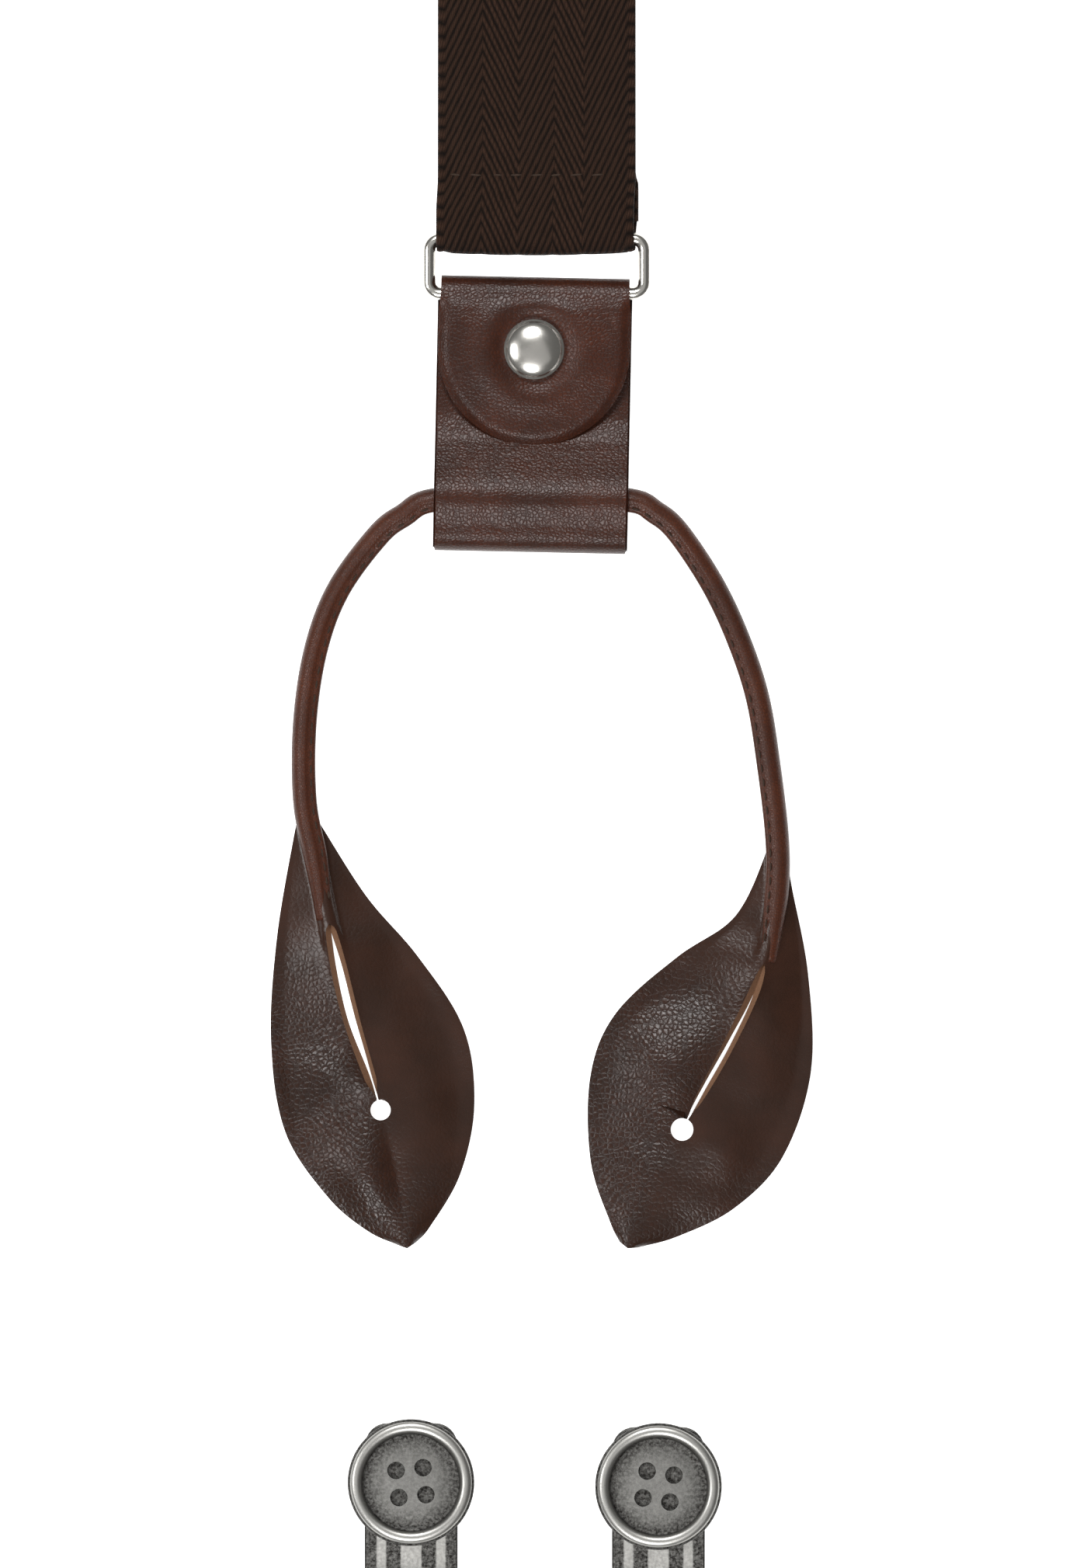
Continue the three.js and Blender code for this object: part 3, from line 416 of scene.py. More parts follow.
def twill_group():
    """Herringbone ribs from the strap's own map: U runs across, V runs along and folds at each column."""
    group, start, end = shader_group(
        "HerringboneTwill",
        [("Map", "NodeSocketVector", None), ("Rib Pitch", "NodeSocketFloat", 0.00237)],
        [("Height", "NodeSocketFloat"), ("Rib", "NodeSocketFloat"), ("Fibre", "NodeSocketFloat")])
    n = Nodes(group)
    split = n.add("ShaderNodeSeparateXYZ", {0: start.outputs["Map"]})
    turns = n.math("DIVIDE", split.outputs["Y"], start.outputs["Rib Pitch"])
    wobble = n.math("MULTIPLY", n.math("SUBTRACT", n.noise(start.outputs["Map"], 900.0, 2.0), 0.5), 0.5)
    phase = n.math("MULTIPLY", n.math("ADD", turns, wobble), 2 * math.pi)
    rib = n.math("MULTIPLY_ADD", n.math("SINE", phase), 0.5, 0.5)
    floats = n.math("MULTIPLY", n.math("ADD", n.math("DIVIDE", split.outputs["X"], 0.00047), turns), math.pi)
    stitch = n.math("ABSOLUTE", n.math("SINE", floats))
    fibre = n.noise(start.outputs["Map"], 6500.0, 3.0, 0.65)
    body = n.math("MULTIPLY", n.math("POWER", rib, 0.7), n.math("MULTIPLY_ADD", stitch, 0.45, 0.55))
    group.links.new(n.math("MULTIPLY_ADD", fibre, 0.3, body), end.inputs["Height"])
    group.links.new(body, end.inputs["Rib"])
    group.links.new(fibre, end.inputs["Fibre"])
    return group


def wear_group():
    """Fine scratches and a cloudy film for metal."""
    group, start, end = shader_group(
        "MetalWear", [("Place", "NodeSocketVector", None)],
        [("Scratches", "NodeSocketFloat"), ("Film", "NodeSocketFloat")])
    n = Nodes(group)
    stretched = n.add("ShaderNodeMapping", {"Vector": start.outputs["Place"], "Scale": (1.0, 9.0, 1.0)})
    group.links.new(n.noise(stretched.outputs[0], 1500.0, 3.0, 0.7), end.inputs["Scratches"])
    group.links.new(n.noise(start.outputs["Place"], 260.0, 4.0, 0.6), end.inputs["Film"])
    return group


GRAIN, TWILL, WEAR = leather_grain_group(), twill_group(), wear_group()


def new_finish(name):
    """A material, its nodes and its shader."""
    material = bpy.data.materials.new(name)
    material.use_nodes = True
    tree = material.node_tree
    return material, Nodes(tree), tree.nodes["Principled BSDF"]


def placed_group(n, group, values):
    """The outputs of a node group that is fed with values."""
    node = n.add("ShaderNodeGroup", node_tree=group)
    for key, value in values.items():
        n.feed(value, node.inputs[key])
    return node.outputs


def leather_finish(name, dark, warm, cell_scale, depth, rough, shine=0.21, graded=False):
    """Finished leather: brown with warmer patches, glossy on the pebbles, with painted shade in the creases.
    """
    material, n, shader = new_finish(name)
    where = n.add("ShaderNodeTexCoord").outputs["Object"]
    shader.inputs["Specular IOR Level"].default_value = shine
    grain = placed_group(n, GRAIN, {"Place": where, "Cell Scale": cell_scale})
    patch = n.remap(grain["Mottle"], 0.35, 0.68)
    colour = n.mix(patch, (*dark, 1), (*warm, 1))
    crease, height = grain["Crease"], grain["Height"]
    if graded:
        strength = n.add("ShaderNodeAttribute", attribute_name="graininess").outputs["Fac"]
        crease, height = n.math("MULTIPLY", crease, strength), n.math("MULTIPLY", height, strength)
    # Painted shade: the grain's creases are mixed towards a much darker brown.
    crease_shaded = n.mix(n.math("MULTIPLY", crease, 0.6), colour, (*[c * 0.3 for c in dark], 1))
    n.feed(crease_shaded, shader.inputs["Base Color"])
    n.feed(n.math("MULTIPLY_ADD", crease, 0.12, rough), shader.inputs["Roughness"])
    n.feed(n.bump(height, 0.8, depth), shader.inputs["Normal"])
    return material


def webbing_finish():
    """Dark brown webbing with hardly any shine: a painted highlight on its ribs and nearly black painted
    shade between them.
    """
    material, n, shader = new_finish("herringbone_webbing")
    web_map = n.add("ShaderNodeUVMap", uv_map="weave").outputs["UV"]
    twill = placed_group(n, TWILL, {"Map": web_map})
    lit_rib = n.math("MULTIPLY", twill["Rib"], 0.8)
    shade = n.remap(n.math("MULTIPLY_ADD", twill["Fibre"], 0.5, lit_rib), 0.2, 1.1)
    # Painted highlight and shade: the colour runs from nearly black between the ribs to dark brown on them,
    # varied by the fibres.
    colour = n.mix(shade, (0.0022, 0.0013, 0.0009, 1), (0.036, 0.0175, 0.0108, 1))
    n.feed(colour, shader.inputs["Base Color"])
    n.feed(n.bump(twill["Height"], 0.9, 0.00028), shader.inputs["Normal"])
    shader.inputs["Roughness"].default_value = 0.82
    shader.inputs["Specular IOR Level"].default_value = 0.08
    shader.inputs["Sheen Weight"].default_value = 0.03
    shader.inputs["Sheen Roughness"].default_value = 0.5
    return material


def plain_cloth_finish(name, colour, scale=2600.0):
    """Twisted or cut fibres: dull, in two shades of one colour."""
    material, n, shader = new_finish(name)
    where = n.add("ShaderNodeTexCoord").outputs["Object"]
    twist = n.noise(where, scale, 3.0, 0.6)
    n.feed(n.mix(twist, (*[c * 0.55 for c in colour], 1), (*colour, 1)), shader.inputs["Base Color"])
    n.feed(n.bump(twist, 0.6, 0.0001), shader.inputs["Normal"])
    shader.inputs["Roughness"].default_value = 0.75
    shader.inputs["Specular IOR Level"].default_value = 0.15
    return material


def metal_finish(name, bright, rough, film=0.1, patina_and_shade_colour=None):
    """Plated metal with fine scratches; its last argument, if given, is the colour of patina in its recesses
    and of painted shade, put where the points are marked for them.
    """
    material, n, shader = new_finish(name)
    where = n.add("ShaderNodeTexCoord").outputs["Object"]
    wear = placed_group(n, WEAR, {"Place": where})
    colour = n.mix(n.math("MULTIPLY", wear["Film"], film), (*bright, 1), (*[c * 0.6 for c in bright], 1))
    roughness = n.math("MULTIPLY_ADD", wear["Scratches"], 0.12, rough)
    if patina_and_shade_colour:
        # Patina and painted shade: the marked points are darkened and clouded at random, with random specks
        # everywhere.
        mask = n.add("ShaderNodeAttribute", attribute_name="patina_and_shade").outputs["Fac"]
        cloudy = n.noise(where, 1900.0, 4.0, 0.7)
        patina_specks_and_shade = n.math("MULTIPLY", mask, n.remap(cloudy, 0.25, 0.62, 0.55, 1.0), clamp=True)
        speck = n.math("MULTIPLY", n.remap(n.noise(where, 3300.0, 2.0, 0.6), 0.6, 0.72), 0.35)
        patina_specks_and_shade = n.math("MAXIMUM", patina_specks_and_shade, speck)
        colour = n.mix(patina_specks_and_shade, colour, (*patina_and_shade_colour, 1))
        roughness = n.math("MULTIPLY_ADD", patina_specks_and_shade, 0.25, roughness)
        n.feed(n.math("MULTIPLY_ADD", patina_specks_and_shade, -0.2, 1.0), shader.inputs["Metallic"])
    else:
        shader.inputs["Metallic"].default_value = 1.0
    n.feed(colour, shader.inputs["Base Color"])
    n.feed(roughness, shader.inputs["Roughness"])
    n.feed(n.bump(wear["Scratches"], 0.12, 0.00002), shader.inputs["Normal"])
    return material


LEATHER_BROWN = leather_finish(
    "tab_leather", dark=(0.034, 0.0112, 0.0062), warm=(0.058, 0.0165, 0.0082),
    cell_scale=1500.0, depth=0.000062, rough=0.27)
CORD_BROWN = leather_finish(
    "cord_leather", dark=(0.05, 0.0155, 0.008), warm=(0.078, 0.0225, 0.0105),
    cell_scale=2100.0, depth=0.00005, rough=0.3)
LEAF_BROWN = leather_finish(
    "leaf_leather", dark=(0.023, 0.0098, 0.0058), warm=(0.034, 0.0135, 0.008),
    cell_scale=1150.0, depth=0.0001, rough=0.26, shine=0.27, graded=True)
CUT_EDGE = plain_cloth_finish("cut_leather_edge", (0.2, 0.105, 0.06))
THREAD = plain_cloth_finish("brown_thread", (0.042, 0.026, 0.018), 4000.0)
CORE = plain_cloth_finish("cotton_core", (0.55, 0.45, 0.32))
WEBBING = webbing_finish()
NICKEL = metal_finish("polished_nickel", (0.68, 0.66, 0.615), 0.16)
SPRING_STEEL = metal_finish("spring_steel", (0.5, 0.5, 0.51), 0.3, 0.3)
ANTIQUE = metal_finish("antiqued_silver", (0.39, 0.385, 0.365), 0.33, 0.35, patina_and_shade_colour=(0.012, 0.0105, 0.009))


# ---- webbing --------------------------------------------------------------------------------------

SELVAGE = 1.3
COLUMNS = (6.7, 6.4, 6.2, 5.3, 7.8)
RIB_SLOPE = 2.1
LOOP_SEAM_Y = 11.25
LOOP_RAMP_START, LOOP_RAMP_LENGTH = 34, 25


def column_edges():
    """Where one column of ribs ends and the next begins, across the webbing."""
    edges = [-WEB_WIDTH / 2 + SELVAGE]
    for width in COLUMNS:
        edges.append(edges[-1] + width)
    return edges


def zigzag(x):
    """How far the ribs have climbed at x: up one column and down the next."""
    height, slope = 0.0, RIB_SLOPE
    edges = column_edges()
    for a, b in zip(edges, edges[1:]):
        height += slope * (min(max(x, a), b) - a)
        slope = -slope
    return height


def web_section():
    """The webbing's section: thin selvages, a groove beside each and one point at every rib column."""
    half, top = WEB_WIDTH / 2, WEB_THICK / 2
    left = [(-half, 0.0), (-half + 0.12, top * 0.62), (-half + 0.6, top * 0.8),
            (-half + SELVAGE - 0.25, top * 0.72), (-half + SELVAGE, top * 0.6)]
    body = []
    edges = column_edges()
    for a, b in zip(edges, edges[1:]):
        body += [((a * 3 + b) / 4, top), ((a + b) / 2, top), ((a + b * 3) / 4, top), (b, top * 0.9)]
    right = [(-x, z) for x, z in reversed(left[:-1])]
    upper = [*left, *body, *right]
    lower = [(x, -z) for x, z in reversed(upper[1:-1])]
    return [*upper, *lower]


def web_piece(name, stations, lengths, shears, place, body):
    """Webbing along stations. lengths are the material's own, shears the rulings' lean at each station."""
    section = web_section()

    def shaped(k, t):
        stretch = 1 / math.cos(shears[k])
        return [(a * stretch, b) for a, b in section]

    def web_map(i, k, point):
        across = point[0] * math.cos(shears[k % len(shears)])
        climb = zigzag(across)
        along = lengths[k % len(lengths)] + point[0] * math.sin(shears[k % len(shears)])
        return (across * MM, (along + climb) * MM)

    bm = skin(stations, shaped, place, uv=web_map)
    return sharpen(piece_from(bm, name, WEBBING, body), 60)


def measured(line):
    """The length reached at each point of a line."""
    total, lengths = 0.0, [0.0]
    for a, b in zip(line, line[1:]):
        total += (b - a).length
        lengths.append(total)
    return lengths


def back_strap_line():
    """From the patch down to the ring, round its bar and back up behind, with the tail's end turned in."""
    tuck = 0.9
    rise = PATCH_LEATHER + CLEAR + WEB_LOW
    edge = PATCH_Y - PATCH_LEG
    return [
        (PATCH_Y - 3 * CLEAR, rise), (PATCH_Y - 10, rise),
        *ramp(edge - 2, rise, edge - 16, WEB_LOW),
        *ramp(LOOP_RAMP_START, WEB_LOW, LOOP_RAMP_START - LOOP_RAMP_LENGTH, LOOP_TOP, 12),
        *arc((0, BAR_HEIGHT), LOOP_RADIUS, 90, 270), (2, WEB_LOW),
        *arc((14 - tuck, WEB_LOW + tuck), tuck, -90, 90, 8),
        (2.75, WEB_LOW + 2 * tuck),
    ]


def make_back_strap():
    """The back strap; what lies behind the ring is shifted a little to one side."""
    line = evened(back_strap_line(), 1.0, passes=1)
    stations = upright_stations(line)
    loop = next(k for k, point in enumerate(line) if point.x < 0)
    for k in range(loop, len(stations)):
        stations[k][0].x += 0.5 * smoothstep(k - loop, 6, 13) * (1 - smoothstep(line[k].x, 9.5, 11.5))
    obj = web_piece("back_webbing", stations, measured(line), [0.0] * len(line), end_frame("back"), "root")
    bow_down(obj, end_frame("back"))
    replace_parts(obj, "back_strap")
    return obj


def bow_down(obj, place):
    """Lets the loop hang a little lower in its middle than at its edges, and puckers it along the seam."""
    inverse = place.inverted()
    for vert in obj.data.vertices:
        local = inverse @ vert.co / MM
        x, y, z = local
        near = 1 - smoothstep(abs(y + 1), 2, 12)
        uneven = 0.6 + 0.4 * math.sin(x * 1.9) * math.sin(x * 0.7 + 1)
        seam = math.exp(-((y - LOOP_SEAM_Y) / 0.8) ** 2) * (0.5 if z > 3.4 else 0) * uneven
        local.y -= near * 0.5 * (1 - (x / 17.5) ** 2) - near * 0.35
        local.x -= 0.3 * smoothstep(-y, -11.5, -4) * (1 if z > 3.2 else 0)
        local.z -= seam
        vert.co = place @ (local * MM)


def shoulder_line():
    """From the patch up to the fold at the shoulder and down again, seen from the side."""
    rise = PATCH_LEATHER + CLEAR + WEB_LOW
    return [
        (PATCH_Y + 1, rise), *ramp(PATCH_Y + 42, rise, PATCH_Y + 58, WEB_LOW),
        (SHOULDER_Y - 30, WEB_LOW),
        *arc((SHOULDER_Y - FOLD_RADIUS, WEB_LOW + FOLD_RADIUS), FOLD_RADIUS, -90, 90),
        *ramp(SHOULDER_Y - 14, WEB_LOW + 2 * FOLD_RADIUS, SHOULDER_Y - 38, WEB_UP),
        *ramp(SHOULDER_Y - 62, WEB_UP, SHOULDER_Y - 82, WEB_LOW), (SHOULDER_Y - 92, WEB_LOW),
    ]


def adjuster_line():
    """Down through the adjuster, round the ring's bar and back up to be sewn round the lower bar."""
    m, over = ADJUSTER_Y, ADJUSTER_HEIGHT + SEWN_RADIUS + WEB_THICK + CLEAR
    doubled, tail = WEB_UP + WEB_THICK + CLEAR, 22
    return [
        (m + ADJUSTER_OPENING + 18, WEB_LOW), (m + ADJUSTER_OPENING, WEB_LOW), (m + 12, WEB_LOW + 0.4),
        (m + 8.5, WEB_LOW + 1.9), (m + 5.4, WEB_LOW + 3.9), (m + 3, over - 0.9), (m, over),
        (m - 4, over - 0.6),
        (m - 9, doubled + 0.3), (m - 13, doubled), (m - tail - 2, doubled),
        *ramp(m - tail - 4, doubled, m - tail - 12, WEB_UP, 5), *ramp(24, WEB_UP, 8, LOOP_TOP, 8),
        *arc((0, BAR_HEIGHT), LOOP_RADIUS, 90, 270), (m / 2, WEB_LOW),
        *arc((m, ADJUSTER_HEIGHT), SEWN_RADIUS, -90, 90),
        *ramp(m - 2, ADJUSTER_HEIGHT + SEWN_RADIUS, m - 9, WEB_UP, 5), (m - tail, WEB_UP),
    ]


def front_strap_stations():
    """The right front strap as stations in the back ring's frame: leaning rulings, then square ones."""
    lean = math.tan(SPREAD)
    cross = WEB_WIDTH / math.cos(SPREAD)
    start_x = cross - (WEB_WIDTH + CLEAR) * 1.035
    upper = evened(shoulder_line(), 1.2, passes=1)
    covered = measured(upper)
    stations = [(point + Vector((start_x + length * lean, 0, 0)), across, up)
                for (point, across, up), length in zip(upright_stations(upper), covered)]
    lengths = [length / math.cos(SPREAD) for length in covered]
    shears = [SPREAD] * len(stations)
    to_design = end_frame("back").inverted() @ end_frame("right")
    lower = evened(adjuster_line(), 1.0, passes=1)
    turn = to_design.to_3x3()
    squared = [(to_design @ (p * MM) / MM, turn @ a, turn @ u) for p, a, u in upright_stations(lower)]
    here, there = stations[-1], squared[0]
    gap = (there[0] - here[0]).length
    steps = 12
    for i in range(1, steps):
        t = i / steps
        shear = SPREAD * (1 - t)
        ruling = Vector((math.cos(SPREAD - shear), math.sin(SPREAD - shear), 0))
        up = Vector((0, 0, 1)) * (1 if here[2].z > 0 else -1)
        stations.append((here[0].lerp(there[0], t), ruling, up))
        lengths.append(lengths[len(covered) - 1] + gap * t)
        shears.append(shear)
    reached = lengths[len(covered) - 1] + gap
    stations += squared
    lengths += [reached + length for length in measured(lower)]
    shears += [0.0] * len(squared)
    return stations, lengths, shears


def cut_at_middle(obj, mirror):
    """Cuts a front strap's end off along the pair's middle, where the two straps meet in the patch."""
    bm = bmesh.new()
    bm.from_mesh(obj.data)
    middle = end_frame("back") @ (Vector((mirror * 0.3, 0, 0)) * MM)
    limit = end_frame("back") @ (Vector((0, PATCH_Y + 40, 0)) * MM)
    low = [v for v in bm.verts if v.co.y < limit.y and abs(v.co.x - middle.x) < 0.05]
    faces = list({f for v in low for f in v.link_faces})
    edges = list({e for f in faces for e in f.edges})
    cut = bmesh.ops.bisect_plane(bm, geom=[*low, *edges, *faces], plane_co=middle,
                                 plane_no=(-mirror, 0, 0), clear_outer=True)
    new_edges = [e for e in cut["geom_cut"] if isinstance(e, bmesh.types.BMEdge)]
    rim = [e for e in new_edges if e.is_valid and e.is_boundary]
    bmesh.ops.holes_fill(bm, edges=rim, sides=0)
    bmesh.ops.recalc_face_normals(bm, faces=bm.faces)
    bm.to_mesh(obj.data)
    bm.free()


def make_front_straps():
    """The two front straps, one the mirror image of the other."""
    stations, lengths, shears = front_strap_stations()
    for side, mirror in (("right", 1), ("left", -1)):
        place = end_frame("back") @ Matrix.Diagonal((mirror, 1, 1, 1))
        obj = web_piece(f"{side}_front_webbing", stations, lengths, shears, place, "root")
        cut_at_middle(obj, mirror)
        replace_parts(obj, f"{side}_front_strap")


def make_web_seams():
    """The sewn lines that hold the webbing: across the back strap's loop, and across the tail at each
    adjuster.
    """
    bm = bmesh.new()
    half = WEB_WIDTH / 2 - 1.4
    share = (LOOP_RAMP_START - LOOP_SEAM_Y) / LOOP_RAMP_LENGTH
    top = WEB_LOW + (LOOP_TOP - WEB_LOW) * share * share * (3 - 2 * share) + WEB_THICK / 2 - 0.3
    wobble = []
    for i in range(41):
        y = LOOP_SEAM_Y + 0.14 * math.sin(i * 1.3)
        wobble.append(Vector((-half + 2 * half * i / 40, y, top)))
    add_stitches(bm, wobble, end_frame("back"), length=2.3, gap=1.0, radius=0.24)
    for side in ("left", "right"):
        for y in (ADJUSTER_Y - 20, ADJUSTER_Y - 17.5):
            height = WEB_UP + WEB_THICK / 2 + WEB_THICK + CLEAR
            row = [Vector((-half, y, height)), Vector((half, y, height))]
            add_stitches(bm, row, end_frame(side), radius=0.25)
            under = [Vector((-half, y, 0.12)), Vector((half, y, 0.12))]
            add_stitches(bm, under, end_frame(side), radius=0.25)
    piece_from(bm, "webbing_seams", THREAD, "root")


# ---- ring, tab and snap ---------------------------------------------------------------------------

def make_ring(side):
    """Wire bent to a rectangle with round corners."""
    right, r = RING_HALF_LONG, RING_CORNER
    corners = [((right - r, -r), 90, 0), ((right - r, -BAR_PITCH + r), 0, -90),
               ((-right + r, -BAR_PITCH + r), -90, -180), ((-right + r, -r), -180, -270)]
    outline = []
    for centre, start, end in corners:
        outline += arc(centre, r, start, end, 8)
    line = [Vector((x, y, BAR_HEIGHT)) for x, y in outline]
    stations = free_stations(line, ring=True)
    bm = skin(stations, round_section(WIRE / 2, 20), end_frame(side), ring=True)
    piece_from(bm, f"{side}_wire_ring", NICKEL, f"{side}_ring", [f"{side}_ring"])


def tab_line():
    """The strip's centre line from under the bar, round the cord's tunnel and up to its front end."""
    fold = -TAB_LENGTH + 2.7 + LEATHER_LOW
    crest = LEATHER_LOW + 7.05
    return [
        (-0.6, LEATHER_LOW), (fold / 2, LEATHER_LOW),
        *arc((fold, LEATHER_LOW + 2.7), 2.7, 270, 105),
        (-RUNNER_DROP - 4.6, crest - 1.35), (-RUNNER_DROP - 3.0, crest - 0.75),
        (-RUNNER_DROP - 1.3, crest - 0.12),
        (-RUNNER_DROP, crest), (-RUNNER_DROP + 1.3, crest - 0.2), (-RUNNER_DROP + 3.2, crest - 0.95),
        (-RUNNER_DROP + 6.7, TAB_FRONT + 2.75), (-RUNNER_DROP + 10.2, TAB_FRONT + 1.05),
        (-RUNNER_DROP + 14.2, TAB_FRONT + 0.2), (-RUNNER_DROP + 18, TAB_FRONT), (-3.9, TAB_FRONT),
    ]


def make_tab(side):
    """The strip's back, with the tunnel that the rolled cord runs through."""
    line = evened(tab_line(), 0.5)
    points = sheet_section(TAB_WIDTH, LEATHER, 28, 0.4)
    bm = skin(upright_stations(line), lambda k, t: points, tab_frame(side))
    obj = piece_from(bm, f"{side}_leather_tab", LEATHER_BROWN, f"{side}_tab", [f"{side}_tab_strap"])
    relax_leather(obj, 0.22)
    return sharpen(obj, 50)


def relax_leather(obj, amount):
    """Small uneven swells, as in leather that has been handled."""
    for vert in obj.data.vertices:
        broad = noise.noise(Vector((vert.co.x * 0.6, vert.co.y, 0)) * 120)
        small = noise.noise(Vector((vert.co.x, vert.co.y, 0.3)) * 420)
        vert.co.z += (broad * 0.75 + small * 0.25) * amount * MM


def flap_line():
    """Centre line of the strip's front end: from under the bar, round it and down to the tip."""
    return evened([
        (-0.58, LEATHER_LOW), *arc((0, BAR_HEIGHT), TAB_LOOP_RADIUS, -90, 90, 18), (-2.5, TAB_TOP + 0.5),
        (-5.2, FLAP_AT_SNAP + 0.1), (-9.9, FLAP_AT_SNAP + 0.2), (-14.6, FLAP_AT_SNAP - 0.05),
        (-18.4, FLAP_AT_SNAP - 0.5), (-22.5, FLAP_AT_SNAP - 1.0), (-FLAP_LENGTH + 0.3, FLAP_AT_SNAP - 1.25),
    ], 0.25, passes=3)


def half_round_sheet(half, total):
    """A flat sheet in mm, its length along Y, with a half round end; also the middle of that round."""
    bm = bmesh.new()
    bmesh.ops.create_grid(bm, x_segments=70, y_segments=80, size=1)
    for vert in bm.verts:
        vert.co = Vector((vert.co.x * half, (vert.co.y + 1) / 2 * total, 0))
    centre = Vector((0, total - half, 0))
    for i in range(1, 56):
        angle = math.pi * i / 56
        out = Vector((math.cos(angle), math.sin(angle), 0))
        bmesh.ops.bisect_plane(bm, geom=[*bm.verts, *bm.edges, *bm.faces], plane_co=centre + out * half,
                               plane_no=out, clear_outer=True)
    return bm, centre


def make_flap(side):
    """The strip's front end: it turns over the bar, is cut to a half round and is pulled in by the snap."""
    place = tab_frame(side)
    half = FLAP_WIDTH / 2 + 0.15
    line = flap_line()
    total = measured(line)[-1]
    bm, centre = half_round_sheet(half, total)
    for vert in bm.verts:
        x, run = vert.co.x, min(max(vert.co.y / total, 0), 1) * (len(line) - 1)
        k = min(int(run), len(line) - 2)
        y, z = line[k].lerp(line[k + 1], run - k)
        away = math.hypot(x, y + SNAP_DROP)
        pulled = 0.5 * math.exp(-((away - 5.6) / 1.7) ** 2) - 0.22 * math.exp(-((away - 9.2) / 2.0) ** 2)
        reach = math.hypot(x, vert.co.y - centre.y) if vert.co.y > centre.y else abs(x)
        rim = 0.95 * smoothstep(reach, half - 2.0, half + 0.2) ** 2
        front = smoothstep(-y, 0.5, 3.5)
        swell = 0.16 * noise.noise(Vector((x * 0.8, y, 2.0)) * 0.13)
        vert.co = place @ (Vector((x, y, z - (pulled + rim - swell) * front)) * MM)
    bmesh.ops.recalc_face_normals(bm, faces=bm.faces)
    bm.normal_update()
    if sum(face.normal.z * (1 if face.calc_center_median().z > 0.004 else 0) for face in bm.faces) < 0:
        bmesh.ops.reverse_faces(bm, faces=bm.faces)
    obj = piece_from(bm, f"{side}_leather_flap", LEATHER_BROWN, None)
    shell = obj.modifiers.new("thickness", "SOLIDIFY")
    shell.thickness, shell.offset = LEATHER * MM, 0
    eased = obj.modifiers.new("eased edge", "BEVEL")
    eased.width, eased.segments, eased.limit_method = 0.5 * MM, 3, "ANGLE"
    apply_modifiers(obj)
    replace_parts(obj, f"{side}_tab_flap")
    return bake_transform(obj)


def snap_profiles():
    """(radius, z) outlines of the four snap pieces, in the tab's frame."""
    flap_top, flap_under = FLAP_AT_SNAP + LEATHER_LOW, FLAP_AT_SNAP - LEATHER_LOW
    cap = flap_top - 0.05
    top = flap_under - 0.1
    low = top - 1.5
    stud = TAB_FRONT + LEATHER_LOW + 0.1
    head = top - 0.6
    dome = [(5.0 * math.cos(a), cap + 0.42 + 1.7 * math.sin(a)) for a in
            [math.pi / 2 * i / 12 for i in range(1, 12)]]
    return {
        "snap_cap": [(0, flap_under - 0.25), (1.4, flap_under - 0.25), (1.4, cap), (5.05, cap),
                     (5.3, cap + 0.16), (5.32, cap + 0.4), (5.15, cap + 0.55), *dome, (0, cap + 2.12)],
        "snap_socket": [(2.95, low), (4.1, low), (4.4, low + 0.35), (4.4, top), (1.7, top), (1.7, top - 0.35),
                        (2.95, top - 0.35), (2.95, low)],
        "snap_stud": [(1.6, stud), (4.0, stud), (4.2, stud + 0.2), (4.0, stud + 0.45), (2.05, stud + 0.45),
                      (2.0, stud + 0.7), (2.5, head - 0.5), (2.5, head - 0.25), (2.2, head), (1.6, head),
                      (1.6, stud)],
        "snap_post": [(0, 0.05), (3.8, 0.05), (4.0, 0.2), (3.8, 0.4), (1.3, 0.4), (1.3, head - 0.15),
                      (0, head - 0.15)],
    }


def make_snap(side):
    """The press stud: cap and socket ride on the flap, stud and post on the tab."""
    place = tab_frame(side) @ Matrix.Translation((0, -SNAP_DROP * MM, 0))
    for part, profile in snap_profiles().items():
        body = f"{side}_flap" if part in ("snap_cap", "snap_socket") else f"{side}_tab"
        bm = turned_piece(profile, place, 56)
        obj = piece_from(bm, f"{side}_{part}_turned", NICKEL, body, [f"{side}_{part}"])
        sharpen(obj, 35)


# ---- runner: rolled arms and leaves ---------------------------------------------------------------

LEFT_ARM = [(-17, -0.3), (-22.5, -3), (-27, -6.5), (-34, -16), (-38, -26.5), (-40, -39.5), (-40, -53.5),
            (-38, -64), (-36.5, -74.5)]
RIGHT_ARM = [(17, -0.3), (22, -2.5), (26, -6), (32, -15), (36.5, -24.5), (40, -35), (42, -47), (43.5, -60),
             (43.5, -69), (42, -82)]

